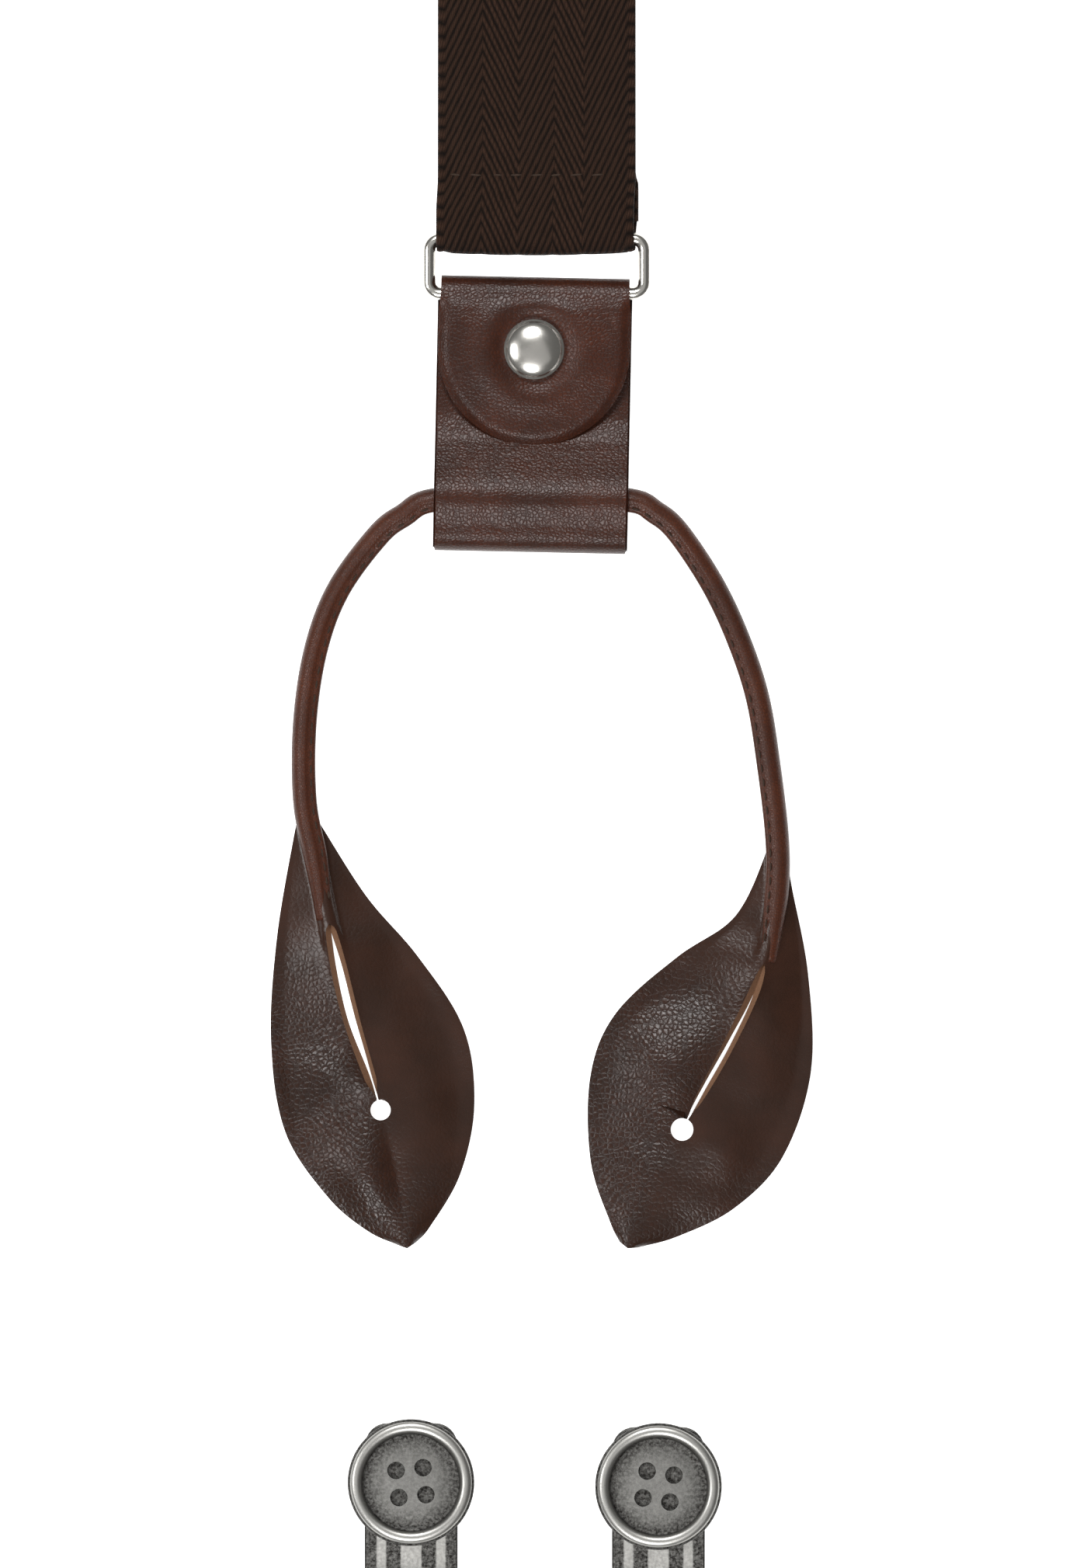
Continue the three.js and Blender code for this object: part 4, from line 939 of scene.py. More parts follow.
# The lines of each leaf: its two edges, and the slit's line from the cord to the tip. `cut` has the slit's
# start and the hole's middle, `hole` is the hole's radius and `gap` half the slit's width. `lit` is the side
# (-1 outer, 1 inner) that is `steep` and has a rounded swell at share `swell` of its length.
LEAVES = {
    "left": dict(
        outer=[(-40.8, -55), (-42, -60), (-45, -78), (-46, -96), (-43.5, -112), (-36, -123.5), (-29, -129.5),
               (-23.4, -132.1)],
        inner=[(-38.8, -55), (-37, -58), (-29, -70.5), (-20, -81), (-12, -93.5), (-10, -107), (-12.5, -119.5),
               (-18, -129), (-20.4, -131.6)],
        slit=[(-39.8, -55), (-37.5, -66), (-35.5, -76), (-31.8, -92), (-26.5, -108.5), (-23.5, -121),
              (-21.9, -132.6)],
        cut=((-35.5, -76), (-26.5, -108.5)), hole=1.8, gap=0.85, lit=-1, swell=0.8, steep=1.1),
    "right": dict(
        outer=[(44.2, -57), (46, -68), (49, -84), (49.5, -101.5), (44.5, -116.5), (36, -125.5), (26, -130.5),
               (18.9, -132.5)],
        inner=[(42.6, -57), (41.4, -63), (36, -74), (26, -81), (15, -91), (10.5, -102), (10.5, -117),
               (14, -128), (15.7, -131.5)],
        slit=[(43.4, -57), (43.5, -69), (41, -83), (35, -96.5), (26.5, -112), (21.5, -123), (17.1, -132.6)],
        cut=((41, -83), (26.5, -112)), hole=2.0, gap=0.36, lit=1, swell=0.6, steep=0.2),
}


def roll_height(x, y):
    """The cord's middle is lifted in the tab's tunnel and comes down to the table beside it."""
    away = math.hypot(max(abs(x) - TAB_WIDTH / 2, 0), y)
    return ROLL_IN_TUNNEL + (ROLL_RADIUS + 0.1 - ROLL_IN_TUNNEL) * smoothstep(away, 1, 22)


def roll_line(step=1.0):
    """The cord's centre line, from the left leaf through the tunnel to the right leaf."""
    flat = through([*reversed(LEFT_ARM), (0, 0.1), *RIGHT_ARM], step)
    return [Vector((p.x, p.y, roll_height(p.x, p.y))) for p in flat]


def make_roll(side):
    """The rolled cord: a slightly flat tube whose lapped edge stands out along its inner side."""
    stations = free_stations(roll_line())
    sides, tube_radius = 28, 2.12

    def rolled(k, t):
        taper = 1 - 0.3 * smoothstep(abs(t - 0.5), 0.44, 0.5)
        points = []
        for i in range(sides):
            a = 2 * math.pi * i / sides
            lap = 0.42 * math.exp(-((math.degrees(a) - 38) / 16) ** 2)
            notch = -0.3 * math.exp(-((math.degrees(a) - 64) / 8) ** 2)
            radius = (tube_radius + lap + notch) * taper
            points.append((radius * math.cos(a), radius * 0.96 * math.sin(a)))
        return points

    place = runner_frame(side)
    bm = skin(stations, rolled, place)
    piece_from(bm, f"{side}_rolled_cord", CORD_BROWN, f"{side}_runner", [f"{side}_runner"])
    seam_angle = math.radians(52)
    seam = [p + a * tube_radius * math.cos(seam_angle) + u * 2.2 * math.sin(seam_angle)
            for p, a, u in stations[3:-3]]
    bm = bmesh.new()
    add_stitches(bm, seam, place, length=1.5, gap=1.0, radius=0.2, sink=0.0)
    piece_from(bm, f"{side}_cord_stitches", THREAD, f"{side}_runner")
    inner = free_stations(roll_line(2.5))
    bm = skin(inner, round_section(0.95, 10), place)
    piece_from(bm, f"{side}_cotton_core", CORE, f"{side}_runner", [f"{side}_runner_core"])


RIDGE = ((0.0, 2.8), (0.14, 2.95), (0.25, 3.45), (0.33, 3.6), (0.5, 3.2), (0.7, 2.7), (0.84, 1.9),
         (1.0, 0.75))


def eased_value(table, t):
    """A value from a short table of (share, value), eased between its entries."""
    for (t0, v0), (t1, v1) in zip(table, table[1:]):
        if t <= t1:
            return v0 + (v1 - v0) * smoothstep(t, t0, t1)
    return table[-1][1]


def leaf_height(s, t, away, x, y, leaf):
    """Height of the leaf's middle surface at share s across and t along, `away` mm from the slit's line.

    The cord's round back runs out over two panels, which turn into a soft tent further down.
    """
    ridge = eased_value(RIDGE, t)
    back = 1.68
    if away < back:
        cord = ridge - (back - math.sqrt(back * back - away * away)) * 0.9
    else:
        cord = ridge - back * 0.9 - (away - back) * 1.6
    floor = LEAF_THICK / 2 + 0.05
    rounded = 1 + 1.1 * smoothstep(t, 0.6, 0.74)
    panel = floor + 1.35 * smoothstep(t, 0.02, 0.2) * (1 - abs(s) ** rounded) ** 1.1
    lit = s * leaf["lit"] > 0
    steep = 1.35 + leaf["steep"] * lit * smoothstep(t, 0.5, 0.62) * (1 - smoothstep(t, 0.88, 0.98))
    tent = floor + (ridge - floor) * (1 - abs(s) ** rounded) ** steep
    rolled = max(cord, panel) + 0.12 * math.exp(-((cord - panel) / 0.45) ** 2)
    open_share = smoothstep(t, 0.2, 0.33)
    height = rolled + (max(tent, panel) - rolled) * open_share
    swell = math.sin(math.pi * min(1, abs(s) ** 0.8)) ** 1.6
    if lit:
        crest = 1.9 * math.exp(-((t - leaf["swell"]) / 0.085) ** 2)
        dip = 0.7 * math.exp(-((t - leaf["swell"] + 0.19) / 0.07) ** 2)
        height += swell * (crest - dip) * smoothstep(t, 0.2, 0.3)
    else:
        height += 0.5 * swell * math.exp(-((t - 0.55) / 0.25) ** 2)
    height += 0.45 * smoothstep(abs(s), 0.8, 1.0) * math.exp(-((t - 0.5) / 0.25) ** 2)
    ripple = 0.3 * noise.noise(Vector((x, y, 3.1)) * 0.12) * smoothstep(t, 0.1, 0.3)
    return max(floor, height + ripple)


def opening(leaf, run, start, hole):
    """Half the width of the buttonhole at a distance along its line: a narrow slit, then the round hole."""
    if run <= start:
        return 0.0
    share = (run - start) / (hole - start)
    slit = 0.05 + leaf["gap"] * math.sin(math.pi * min(share, 1) ** 0.7) ** 0.9 if share < 1 else 0.0
    beside = leaf["hole"] ** 2 - (run - hole) ** 2
    return max(slit, math.sqrt(beside) if beside > 0 else 0.0)


def leaf_rows(total, hole, radius):
    """Distances along the leaf's line for its rows, closer together round the hole."""
    plain = [total * i / 112 for i in range(113)]
    rows = [run for run in plain if abs(run - hole) > radius + 0.25]
    return sorted([*rows, *[hole - radius * math.cos(math.pi * i / 22) for i in range(23)]])


def thickened(bm, thickness):
    """The sheet with a second side below it and walls between; both sides keep the order of its points."""
    mesh = bpy.data.meshes.new("sheet")
    bm.to_mesh(mesh)
    obj = bpy.data.objects.new("sheet", mesh)
    bpy.context.scene.collection.objects.link(obj)
    shell = obj.modifiers.new("thickness", "SOLIDIFY")
    shell.thickness, shell.offset = thickness, -1
    apply_modifiers(obj)
    bm.clear()
    bm.from_mesh(obj.data)
    bpy.data.objects.remove(obj)
    return bm


def point_at(path, t):
    """The point at a share of a line's points."""
    spot = t * (len(path) - 1)
    k = min(int(spot), len(path) - 2)
    return path[k].lerp(path[k + 1], spot - k)


def leaf_lines(leaf):
    """The leaf's lines as smooth curves, the slit's length and how far along it the cut's two spots lie."""
    lines = {key: through(leaf[key], 1.0) for key in ("outer", "inner", "slit")}
    slit = lines["slit"]
    total = measured(slit)[-1]
    nearest = [min(range(len(slit)), key=lambda k: (slit[k] - Vector(spot)).length) for spot in leaf["cut"]]
    start, hole = (total * k / (len(slit) - 1) for k in nearest)
    return {**lines, "total": total, "start": start, "hole": hole}


def leaf_point(leaf, lines, edge_name, sign, part, run):
    """A point of the leaf's upper side, and the direction, distance and lean that its wall needs."""
    slit, hole = lines["slit"], lines["hole"]
    t = run / lines["total"]
    middle, edge = point_at(slit, t), point_at(lines[edge_name], t)
    along = (point_at(slit, min(1, t + 0.01)) - point_at(slit, max(0, t - 0.01))).normalized()
    across = Vector((-along.y, along.x))
    if across.dot(edge - middle) < 0:
        across.negate()
    gap = opening(leaf, run, lines["start"], hole)
    flat = (middle + across * gap).lerp(edge, part)
    away = (flat - middle).length
    share = sign * min(1, away / max((edge - middle).length, 0.01))
    height = leaf_height(share, t, away, flat.x, flat.y, leaf) + LEAF_THICK / 2
    lean = 0.62 * min(1, gap / 0.3) ** 0.5 * (1 - smoothstep(run, hole - 6, hole - leaf["hole"] - 0.4))
    return Vector((flat.x, flat.y, height)), (across, part * (edge - middle).length, lean)


def leaf_sheet(leaf, lines):
    """The leaf's upper side, its halves joined where there is no slit, and each point's wall."""
    rows = leaf_rows(lines["total"], lines["hole"], leaf["hole"])
    last_row = len(rows) - 1
    bm = bmesh.new()
    walls = {}
    for edge_name, sign in (("outer", -1), ("inner", 1)):
        made = bmesh.ops.create_grid(bm, x_segments=LEAF_COLUMNS, y_segments=last_row, size=1)["verts"]
        for vert in made:
            part = round((vert.co.x + 1) / 2 * LEAF_COLUMNS) / LEAF_COLUMNS
            run = rows[round((vert.co.y + 1) / 2 * last_row)]
            vert.co, walls[vert] = leaf_point(leaf, lines, edge_name, sign, part, run)
    merged = bmesh.ops.find_doubles(bm, verts=bm.verts, dist=0.002)["targetmap"]
    bmesh.ops.weld_verts(bm, targetmap=merged)
    bmesh.ops.recalc_face_normals(bm, faces=bm.faces)
    bm.normal_update()
    if sum(face.normal.z for face in bm.faces) < 0:
        bmesh.ops.reverse_faces(bm, faces=bm.faces)
    return bm, [walls[vert] for vert in bm.verts]


def shape_walls(bm, leaf, walls):
    """Leans the slit's walls, sets the round hole's walls upright and returns the upper side's points."""
    half, reach = len(bm.verts) // 2, 3
    bm.verts.ensure_lookup_table()
    upper_side = max(bm.verts[:half], bm.verts[half:], key=lambda points: sum(v.co.z for v in points))
    for vert, (across, away, lean) in zip(upper_side, walls):
        if away < reach:
            shift = across * lean * (1 - away / reach) ** 2
            vert.co += Vector((shift.x, shift.y, 0))
    tops = set(upper_side)
    hole = Vector(leaf["cut"][1])
    for edge in bm.edges:
        low, high = sorted(edge.verts, key=lambda vert: vert in tops)
        if (low in tops) != (high in tops) and (high.co.xy - hole).length < leaf["hole"] + 0.6:
            low.co.xy = high.co.xy
    return tops


def show_cut_edge(bm, leaf, slit, tops):
    """Gives the walls along the buttonhole the look of cut leather."""
    first, last = (Vector(spot) for spot in leaf["cut"])
    for face in bm.faces:
        upper = sum(vert in tops for vert in face.verts)
        centre = face.calc_center_median()
        near = centre.y < first.y + 1 and centre.y > last.y - leaf["hole"] - 1
        share = (centre.y - slit[0].y) / (slit[-1].y - slit[0].y)
        middle = point_at(slit, min(max(0, share), 1))
        if 0 < upper < len(face.verts) and near and (centre.xy - middle).length < 6:
            face.material_index = 1


def leaf_graininess(leaf, inverse):
    """A rule for how much grain shows: little on the cord's back, most on the left half and at the tip."""
    first, last = (Vector(spot) for spot in leaf["cut"])

    def rule(co):
        x, y, _ = inverse @ co / MM
        middle = first.x + (last.x - first.x) * (y - first.y) / (last.y - first.y)
        off = (middle - x) / 5
        low = smoothstep(-y, 72, 96)
        return 0.22 + 0.78 * low * smoothstep(off, -0.6, 1.0) + 0.35 * smoothstep(-y, 112, 124)

    return rule


def make_leaf(side, hand):
    """One leather leaf: it grows out of the cord, keeps its round back and opens round the slit."""
    leaf, place = LEAVES[hand], runner_frame(side)
    lines = leaf_lines(leaf)
    sheet, walls = leaf_sheet(leaf, lines)
    bm = thickened(sheet, LEAF_THICK)
    tops = shape_walls(bm, leaf, walls)
    show_cut_edge(bm, leaf, lines["slit"], tops)
    bmesh.ops.recalc_face_normals(bm, faces=bm.faces)
    bmesh.ops.scale(bm, vec=(MM, MM, MM), verts=bm.verts)
    bmesh.ops.transform(bm, matrix=place, verts=bm.verts)
    obj = piece_from(bm, f"{side}_{hand}_leaf", [LEAF_BROWN, CUT_EDGE], f"{side}_runner")
    mark_points(obj, "graininess", leaf_graininess(leaf, place.inverted()))
    return sharpen(obj, 48)


def apply_modifiers(obj):
    """Keeps what the modifiers show as the piece's own mesh."""
    bpy.context.view_layer.update()
    shown = obj.evaluated_get(bpy.context.evaluated_depsgraph_get())
    mesh = bpy.data.meshes.new_from_object(shown)
    obj.modifiers.clear()
    obj.data = mesh


# ---- patch ----------------------------------------------------------------------------------------

def patch_outline():
    """The patch's outline: a leg over the back strap and an arm over each front strap."""
    leg, reach = PATCH_WIDTH / 2, 33
    arm = Vector((math.sin(SPREAD), math.cos(SPREAD)))
    side = Vector((math.cos(SPREAD), -math.sin(SPREAD)))
    inner = Vector((1.5, PATCH_Y + 4)) + arm * reach
    outer = inner + side * (WEB_WIDTH + 1.5)
    hip = outer - arm * reach * 0.72

    def curve(a, b, c):
        return [a.lerp(b, t).lerp(b.lerp(c, t), t) for t in [i / 10 for i in range(1, 11)]]

    right = [Vector((0, PATCH_Y - PATCH_LEG)), Vector((leg, PATCH_Y - PATCH_LEG))]
    right += curve(right[-1], Vector((leg, PATCH_Y - 4)), hip)
    right += [outer, inner, *curve(inner, Vector((0.75, PATCH_Y + 24)), Vector((0, PATCH_Y + 23.5)))[3:]]
    return [*right, *[Vector((-p.x, p.y)) for p in reversed(right[1:-1])]]


def inset_line(outline, by):
    """The outline moved inwards, as the sewn line follows the edge."""
    moved = []
    for before, here, after in zip([outline[-1], *outline], outline, [*outline[1:], outline[0]]):
        a, b = (here - before).normalized(), (after - here).normalized()
        inward = (Vector((-a.y, a.x)) + Vector((-b.y, b.x))).normalized()
        turn = max(0.5, inward.dot(Vector((-a.y, a.x))))
        moved.append(here + inward * by / turn)
    return [*moved, moved[0]]


def make_patch():
    """The two leather pieces over and under the place where the straps meet, sewn with two rows."""
    place = end_frame("back")
    strap_top = PATCH_LEATHER + CLEAR + WEB_THICK
    thread = bmesh.new()
    for name, low in (("patch_back", 0.0), ("patch_front", strap_top + CLEAR)):
        high = low + PATCH_LEATHER
        bm = bmesh.new()
        face = bm.faces.new([bm.verts.new((p.x * MM, p.y * MM, low * MM)) for p in patch_outline()])
        bmesh.ops.recalc_face_normals(bm, faces=[face])
        lifted = bmesh.ops.extrude_face_region(bm, geom=[face])["geom"]
        bmesh.ops.translate(bm, vec=(0, 0, (high - low) * MM),
                            verts=[v for v in lifted if isinstance(v, bmesh.types.BMVert)])
        bmesh.ops.recalc_face_normals(bm, faces=bm.faces)
        bmesh.ops.transform(bm, matrix=place, verts=bm.verts)
        obj = piece_from(bm, f"{name}_leather", LEATHER_BROWN, "root", [name], smooth=False)
        eased = obj.modifiers.new("eased edge", "BEVEL")
        eased.width, eased.segments, eased.limit_method = 0.35 * MM, 3, "ANGLE"
        for by in (2.2, 3.9):
            level = high + 0.05 if name == "patch_front" else 0.16
            row = [Vector((p.x, p.y, level)) for p in inset_line(patch_outline(), by)]
            add_stitches(thread, row, place, length=2.0, gap=1.0, radius=0.24)
    piece_from(thread, "patch_stitches", THREAD, "root")


# ---- adjuster -------------------------------------------------------------------------------------

COVER_PIN_Y, COVER_PIN_Z = ADJUSTER_Y + 12, ADJUSTER_HEIGHT + 2.1
SIDE_INNER, SIDE_THICK = WEB_WIDTH / 2 + 0.9, 1.6


def make_adjuster(side):
    """The adjuster: a frame of two bars and two sides, the cover's pin through its ears, and the cover."""
    place = end_frame(side)
    bm = bmesh.new()
    far_y = ADJUSTER_Y + ADJUSTER_OPENING + 2.2
    for sign in (1, -1):
        a, b = sorted((sign * SIDE_INNER, sign * (SIDE_INNER + SIDE_THICK)))
        add_box(bm, (a, ADJUSTER_Y - 2.2, 0.6), (b, far_y, ADJUSTER_HEIGHT + 1.4), place)
        add_box(bm, (a, COVER_PIN_Y - 2, ADJUSTER_HEIGHT), (b, COVER_PIN_Y + 2, COVER_PIN_Z + 1.3), place)
    reach = SIDE_INNER + SIDE_THICK - 0.2
    for y in (ADJUSTER_Y, ADJUSTER_Y + ADJUSTER_OPENING):
        add_rod(bm, (-reach, y, ADJUSTER_HEIGHT), (reach, y, ADJUSTER_HEIGHT), BAR_RADIUS, place, 24)
    obj = piece_from(bm, f"{side}_adjuster_body", NICKEL, "root", [f"{side}_adjuster_frame"])
    sharpen(obj, 30)
    bm = bmesh.new()
    reach = SIDE_INNER + SIDE_THICK
    add_rod(bm, (-reach, COVER_PIN_Y, COVER_PIN_Z), (reach, COVER_PIN_Y, COVER_PIN_Z), 0.7, place, 20)
    obj = piece_from(bm, f"{side}_adjuster_hinge_pin", NICKEL, "root", [f"{side}_adjuster_pin"])
    sharpen(obj, 30)
    make_cover(side, place)


def make_cover(side, place):
    """The adjuster's cover, without its teeth: a bowed plate with raised borders, a rolled knuckle and a lip.
    """
    m = ADJUSTER_Y
    top = ADJUSTER_HEIGHT + SEWN_RADIUS + 2 * WEB_THICK + 2 * CLEAR + 0.5
    knuckle = arc((COVER_PIN_Y, COVER_PIN_Z), 1.3, -150, 80, 12)
    line = evened([*knuckle, (m + 7, top - 0.7), (m + 2, top), (m - 5, top - 0.1), (m - 7.5, top - 0.7),
                   (m - 8.2, top - 1.6)], 0.6)
    half = WEB_WIDTH / 2 + 0.4
    flat = sheet_section(2 * half, 0.9, 28, 0.3)

    def bordered(k, t):
        framed = 0.22 * smoothstep(t, 0.42, 0.46) * (1 - smoothstep(t, 0.86, 0.9))
        return [(a, b - (framed if abs(a) < half - 2.6 and b > 0.3 else 0)) for a, b in flat]

    bm = skin(upright_stations(line), bordered, place)
    obj = piece_from(bm, f"{side}_adjuster_lid", NICKEL, f"{side}_cover", [f"{side}_adjuster_cover"])
    sharpen(obj, 40)


# ---- clip-on button -------------------------------------------------------------------------------

CLIP_WIDTH, CLIP_TOP, CLIP_BOTTOM, SHEET = 16.4, 10.3, 31.5, 1.0
HANDLE_HEIGHT = 7.5
BUTTON_UNDERSIDE = HANDLE_HEIGHT + SHEET / 2 + 0.45 + 2.6 + 0.05
BUTTON_TOP = BUTTON_UNDERSIDE + 2.9
HOLE_OFFSET, HOLE_RADIUS = 2.4, 1.55
RIB_HEIGHT = 0.55
JAW_TARNISH, JAW_UNDER_TARNISH = 0.52, 0.5
COIL_RADIUS, COIL_HALF, COIL_TURNS = 1.5, 2.7, 3


def button_profile():
    """(radius, z) outline of the button: flat back, rounded rim and sunk face."""
    top, low = BUTTON_TOP, BUTTON_UNDERSIDE
    outer = [(10.1, low), (10.9, low + 0.35), (11.2, low + 0.9), (11.2, low + 1.5), (11.05, low + 1.9),
             (10.75, low + 2.1)]
    bead = [(9.75 + 1.02 * math.cos(a), top - 0.75 + 0.75 * math.sin(a)) for a in
            [math.radians(d) for d in range(5, 176, 17)]]
    face = [(8.62, top - 1.1), (8.4, top - 1.28), (7.8, top - 1.3), (6.5, top - 1.2), (4, top - 1.08),
            (0, top - 1.05)]
    return [(0, low), *outer, *bead, *face]


def punch_holes(obj, place):
    """Cuts the button's four blind holes."""
    bm = bmesh.new()
    for x, y in ((1, 1), (-1, 1), (-1, -1), (1, -1)):
        x, y = x * HOLE_OFFSET, y * HOLE_OFFSET
        add_rod(bm, (x, y, BUTTON_UNDERSIDE + 0.8), (x, y, BUTTON_TOP + 1), HOLE_RADIUS, place, 28)
    holes = piece_from(bm, "button_hole_cutter", ANTIQUE, None)
    punched = obj.modifiers.new("holes", "BOOLEAN")
    punched.operation, punched.solver, punched.object = "DIFFERENCE", "EXACT", holes
    apply_modifiers(obj)
    bpy.data.objects.remove(holes)


def make_button(side, turn):
    """A four-hole button: a fat rounded rim, a sunk face that is darkest at its foot, blind holes."""
    place = clip_frame(side) @ Matrix.Rotation(turn, 4, "Z")
    top, low = BUTTON_TOP, BUTTON_UNDERSIDE
    bm = turned_piece(button_profile(), place, 96)
    obj = piece_from(bm, f"{side}_four_hole_button", ANTIQUE, None)
    punch_holes(obj, place)
    inverse = place.inverted()

    # Patina fills the holes and darkens the sunk face towards its foot; painted shade darkens the rim's outer
    # side, fading over its outer shoulder and towards its underside.
    def darkness(co):
        x, y, z = inverse @ co / MM
        radius = math.hypot(x, y)
        if z < top - 1.6:
            return 1.0 if radius < 8.5 else 0.4 * smoothstep(low + 1.2 - z, 0, 1)
        if z < top - 0.75:
            return 0.6 + 0.4 * smoothstep(radius, 5.2, 7.7)
        return 0.5 * smoothstep(radius, 10.5, 10.9) * (1 - smoothstep(radius, 10.9, 11.2))

    mark_points(obj, "patina_and_shade", darkness)
    sharpen(obj, 38)
    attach(obj, f"{side}_clip_front")
    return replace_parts(obj, f"{side}_clip_button")


def jaw_ribs(x):
    """Height of the front jaw's three ribs above its sheet."""
    broad = smoothstep(1.95 - abs(x), 0, 0.5)
    side = smoothstep(1.0 - abs(abs(x) - 5.3), 0, 0.45)
    return RIB_HEIGHT * max(broad, side)


def make_front_jaw(side):
    """The ribbed front jaw, bent from sheet, with two ears for the hinge pin."""
    place = clip_frame(side)
    line = evened([(CLIP_TOP, HANDLE_HEIGHT), (-4, HANDLE_HEIGHT), (-HINGE_DROP + 2, HANDLE_HEIGHT - 1.1),
                   (-HINGE_DROP - 4, HANDLE_HEIGHT - 2.5), (-CLIP_BOTTOM + 5.5, SHEET + 2.6),
                   (-CLIP_BOTTOM + 1.2, SHEET + 1.5), (-CLIP_BOTTOM, SHEET + CLEAR + SHEET / 2)], 0.8)
    flat = sheet_section(CLIP_WIDTH, SHEET, 56, 0.25)

    def ribbed(k, t):
        y = line[k].x
        corner = max(0.0, y - (CLIP_TOP - 4))
        narrow = 1 - (4 - math.sqrt(max(0.0, 16 - corner ** 2))) / (CLIP_WIDTH / 2)
        fade = 1 - smoothstep(y, 5, 8)
        return [(a * narrow, b + (jaw_ribs(a) * fade if b > 0.3 else 0)) for a, b in flat]

    bm = skin(upright_stations(line), ribbed, place)
    for x in (5.9, -6.9):
        low, high = HINGE_HEIGHT, HANDLE_HEIGHT - 1.6
        add_box(bm, (x, -HINGE_DROP - 2.4, low), (x + 1, -HINGE_DROP + 2.4, high), place, 0.15)
        add_rod(bm, (x, -HINGE_DROP, low), (x + 1, -HINGE_DROP, low), HINGE_EYE, place, 24)
    obj = piece_from(bm, f"{side}_ribbed_jaw", ANTIQUE, f"{side}_clip_front", [f"{side}_clip_front_jaw"])
    inverse = place.inverted()

    # Patina lies between the ribs and as an even film; painted shade darkens the handle's end under the
    # button.
    def darkness(co):
        x, y, z = inverse @ co / MM
        groove = 1 - jaw_ribs(x) / RIB_HEIGHT
        return max(groove, smoothstep(y, 3, 6), JAW_TARNISH) if z > 2.2 else JAW_UNDER_TARNISH

    mark_points(obj, "patina_and_shade", darkness)
    return sharpen(obj, 42)


def make_back_jaw(side):
    """The flat back jaw, with two ears for the hinge pin and five low teeth."""
    place = clip_frame(side)
    half, corner = CLIP_WIDTH / 2, 4
    outline = [(-half, -CLIP_BOTTOM), (half, -CLIP_BOTTOM),
               *arc((half - corner, CLIP_TOP - corner), corner, 0, 90, 8),
               *arc((-half + corner, CLIP_TOP - corner), corner, 90, 180, 8)]
    bm = bmesh.new()
    face = bm.faces.new([bm.verts.new((x * MM, y * MM, 0)) for x, y in outline])
    lifted = bmesh.ops.extrude_face_region(bm, geom=[face])["geom"]
    bmesh.ops.translate(bm, vec=(0, 0, SHEET * MM),
                        verts=[v for v in lifted if isinstance(v, bmesh.types.BMVert)])
    bmesh.ops.recalc_face_normals(bm, faces=bm.faces)
    bmesh.ops.transform(bm, matrix=place, verts=bm.verts)
    for x in (half - 1, -half):
        add_box(bm, (x, -HINGE_DROP - 2.6, 0.4), (x + 1, -HINGE_DROP + 2.6, HINGE_HEIGHT), place, 0.15)
        add_rod(bm, (x, -HINGE_DROP, HINGE_HEIGHT), (x + 1, -HINGE_DROP, HINGE_HEIGHT), HINGE_EYE, place, 24)
    for i in range(5):
        x = -6 + i * 3
        low, high = (x - 0.7, -CLIP_BOTTOM, SHEET - 0.1), (x + 0.7, -CLIP_BOTTOM + 1, SHEET + 0.2)
        add_box(bm, low, high, place, 0.05)
    obj = piece_from(bm, f"{side}_back_jaw_plate", ANTIQUE, f"{side}_clip_base", [f"{side}_clip_back_jaw"],
                     smooth=False)
    mark_points(obj, "patina_and_shade", lambda co: 0.35)
    eased = obj.modifiers.new("eased edge", "BEVEL")
    eased.width, eased.segments, eased.limit_method = 0.15 * MM, 2, "ANGLE"


def make_spring(side):
    """The torsion spring: three turns round the pin, with one leg on each jaw."""
    place = clip_frame(side)
    coil = []
    for i in range(COIL_TURNS * 20 + 1):
        angle, x = 2 * math.pi * i / 20, -COIL_HALF + 2 * COIL_HALF * i / (COIL_TURNS * 20)
        y, z = -HINGE_DROP + COIL_RADIUS * math.cos(angle), HINGE_HEIGHT + COIL_RADIUS * math.sin(angle)
        coil.append(Vector((x, y, z)))
    line = [Vector((-COIL_HALF, 2, SHEET + 0.6)), *coil,
            Vector((COIL_HALF, 2, HANDLE_HEIGHT - SHEET / 2 - 0.6))]
    line = evened(line, 0.5, passes=1)
    bm = skin(free_stations(line, up=Vector((1, 0, 0.01))), round_section(0.3, 10), place)
    obj = piece_from(bm, f"{side}_torsion_spring", SPRING_STEEL, None)
    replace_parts(obj, f"{side}_clip_spring")
    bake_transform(obj)


def make_clip(side, turn):
    """A whole clip-on button; the button is turned a little on its shank."""
    place = clip_frame(side)
    make_button(side, turn)
    make_front_jaw(side)
    make_back_jaw(side)
    make_spring(side)
    bm = bmesh.new()
    half = CLIP_WIDTH / 2
    add_rod(bm, (-half, -HINGE_DROP, HINGE_HEIGHT), (half, -HINGE_DROP, HINGE_HEIGHT), 0.9, place, 24)
    obj = piece_from(bm, f"{side}_clip_hinge_pin", SPRING_STEEL, f"{side}_clip_base", [f"{side}_clip_pin"])
    sharpen(obj, 30)
    low = HANDLE_HEIGHT + SHEET / 2 + 0.5
    stem = [(0, low), (3, low), (2.6, low + 0.5), (2.4, low + 1.3), (2.6, low + 2.1), (3, low + 2.55),
            (0, low + 2.55)]
    obj = piece_from(turned_piece(stem, place, 36), f"{side}_button_shank", ANTIQUE, f"{side}_clip_front",
                     [f"{side}_clip_shank"])
    mark_points(obj, "patina_and_shade", lambda co: 0.6)
    sharpen(obj, 40)


# ---- stage ----------------------------------------------------------------------------------------

VIEW_TALL = 277.1 * MM
VIEW_CENTRE = Vector((1.2, -96.4, 0)) * MM
LENS, SENSOR = 800.0, 36.0


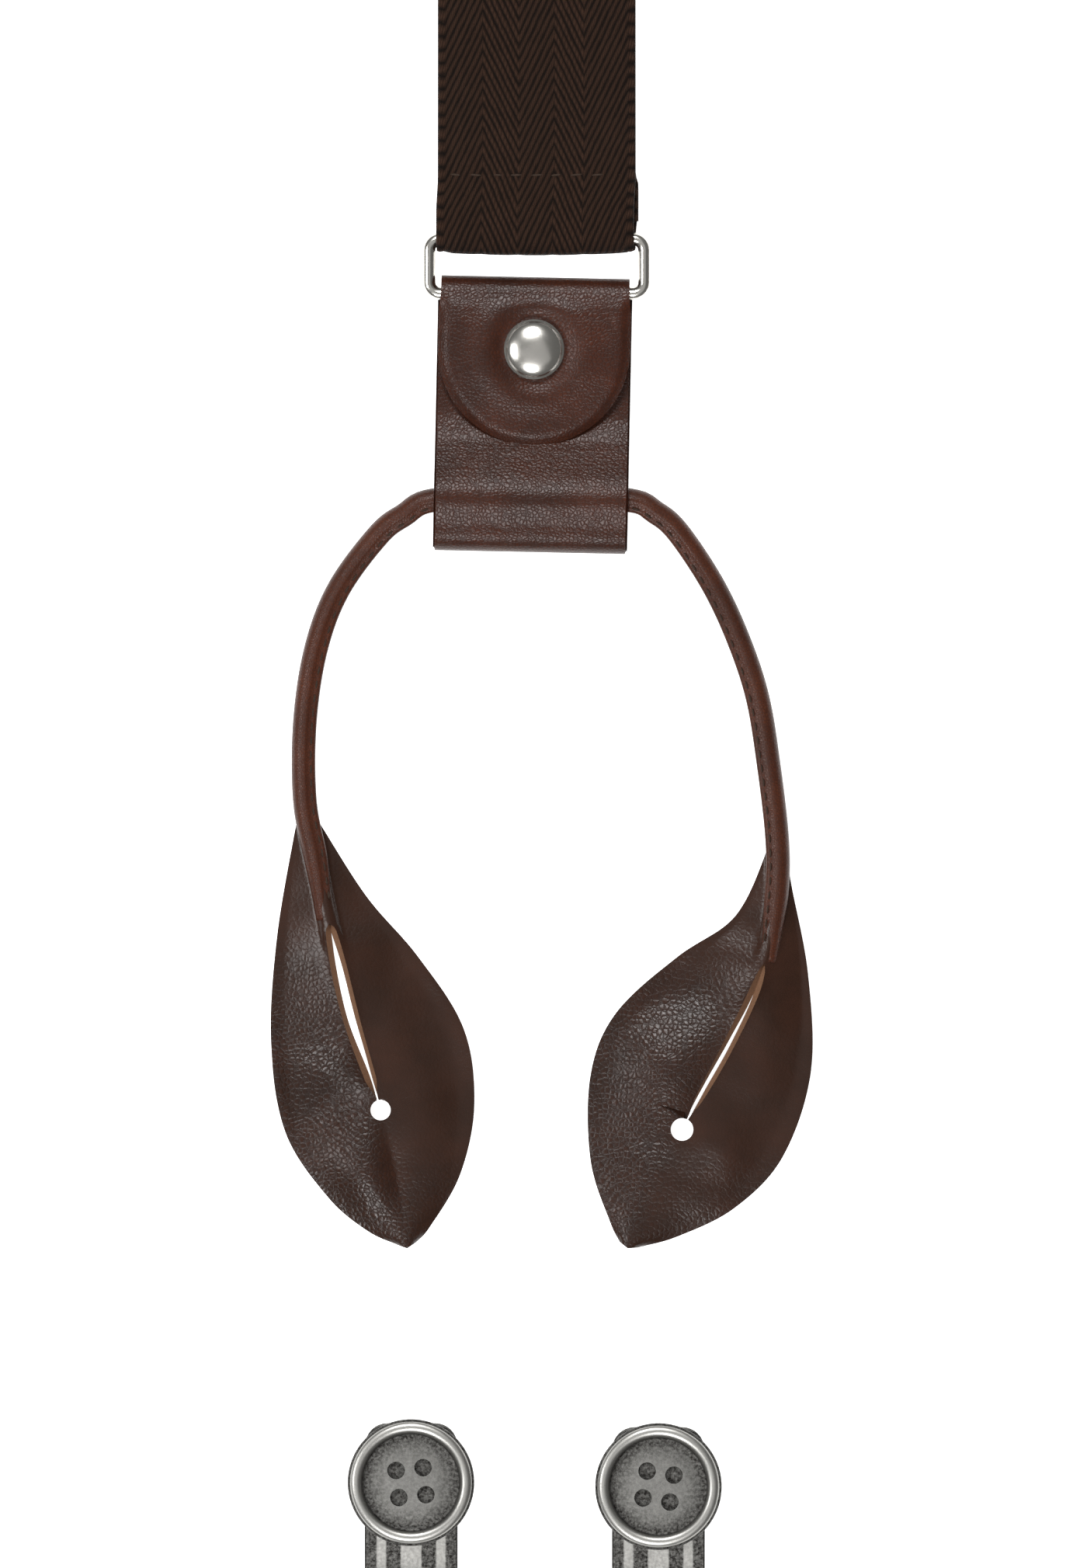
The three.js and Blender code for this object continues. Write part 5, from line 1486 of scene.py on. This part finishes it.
def make_stage():
    """A plain white table, a camera straight above it and large soft lights."""
    scene = bpy.context.scene
    scene.view_settings.view_transform = "Standard"
    bm = bmesh.new()
    bmesh.ops.create_grid(bm, x_segments=2, y_segments=2, size=3.0)
    bmesh.ops.translate(bm, vec=(0, 0, -0.0002), verts=bm.verts)
    floor = piece_from(bm, "white_table", plain_white(), None)
    centre = end_frame("back") @ VIEW_CENTRE
    camera = bpy.data.objects.new("camera", bpy.data.cameras.new("camera"))
    scene.collection.objects.link(camera)
    camera.data.lens, camera.data.sensor_width = LENS, SENSOR
    camera.location = centre + Vector((0, 0, VIEW_TALL * LENS / SENSOR + 0.005))
    scene.camera = camera
    add_light("overhead", centre + Vector((0.1, -0.2, 1.3)), centre, 1.0, 0.9)
    add_light("upper_side", centre + Vector((-0.1, 0.85, 1.15)), centre, 0.4, 14)
    add_light("left_side", centre + Vector((-1.0, 0.0, 1.1)), centre, 0.5, 9)
    add_light("lower_side", centre + Vector((-0.15, -0.85, 1.15)), centre, 0.4, 12)
    world = bpy.data.worlds.new("studio")
    world.use_nodes = True
    world.node_tree.nodes["Background"].inputs["Color"].default_value = (1.0, 0.99, 0.97, 1)
    world.node_tree.nodes["Background"].inputs["Strength"].default_value = 0.15
    scene.world = world


def plain_white():
    """The table's white, which shows evenly lit."""
    material, _, shader = new_finish("white_table_top")
    shader.inputs["Base Color"].default_value = (0.93, 0.93, 0.925, 1)
    shader.inputs["Roughness"].default_value = 0.9
    shader.inputs["Specular IOR Level"].default_value = 0.1
    shader.inputs["Emission Color"].default_value = (1.0, 1.0, 0.995, 1)
    shader.inputs["Emission Strength"].default_value = 0.9
    return material


def add_light(name, where, target, size, power):
    """A square lamp that faces a target and can't be seen itself."""
    lamp = bpy.data.lights.new(name, "AREA")
    lamp.shape, lamp.size, lamp.energy = "SQUARE", size, power
    obj = bpy.data.objects.new(name, lamp)
    obj.location = where
    obj.rotation_mode = "QUATERNION"
    obj.rotation_quaternion = (target - where).to_track_quat("-Z", "Y")
    obj.visible_camera = False
    bpy.context.scene.collection.objects.link(obj)


# ---- the whole pair -------------------------------------------------------------------------------

make_stage()
make_back_strap()
make_front_straps()
make_web_seams()
make_patch()
for end in ("back", "left", "right"):
    make_ring(end)
    make_tab(end)
    make_flap(end)
    make_snap(end)
    make_roll(end)
    for hand in ("left", "right"):
        make_leaf(end, hand)
for side in ("left", "right"):
    make_adjuster(side)
make_clip("left", math.radians(6))
make_clip("right", math.radians(-8.6))
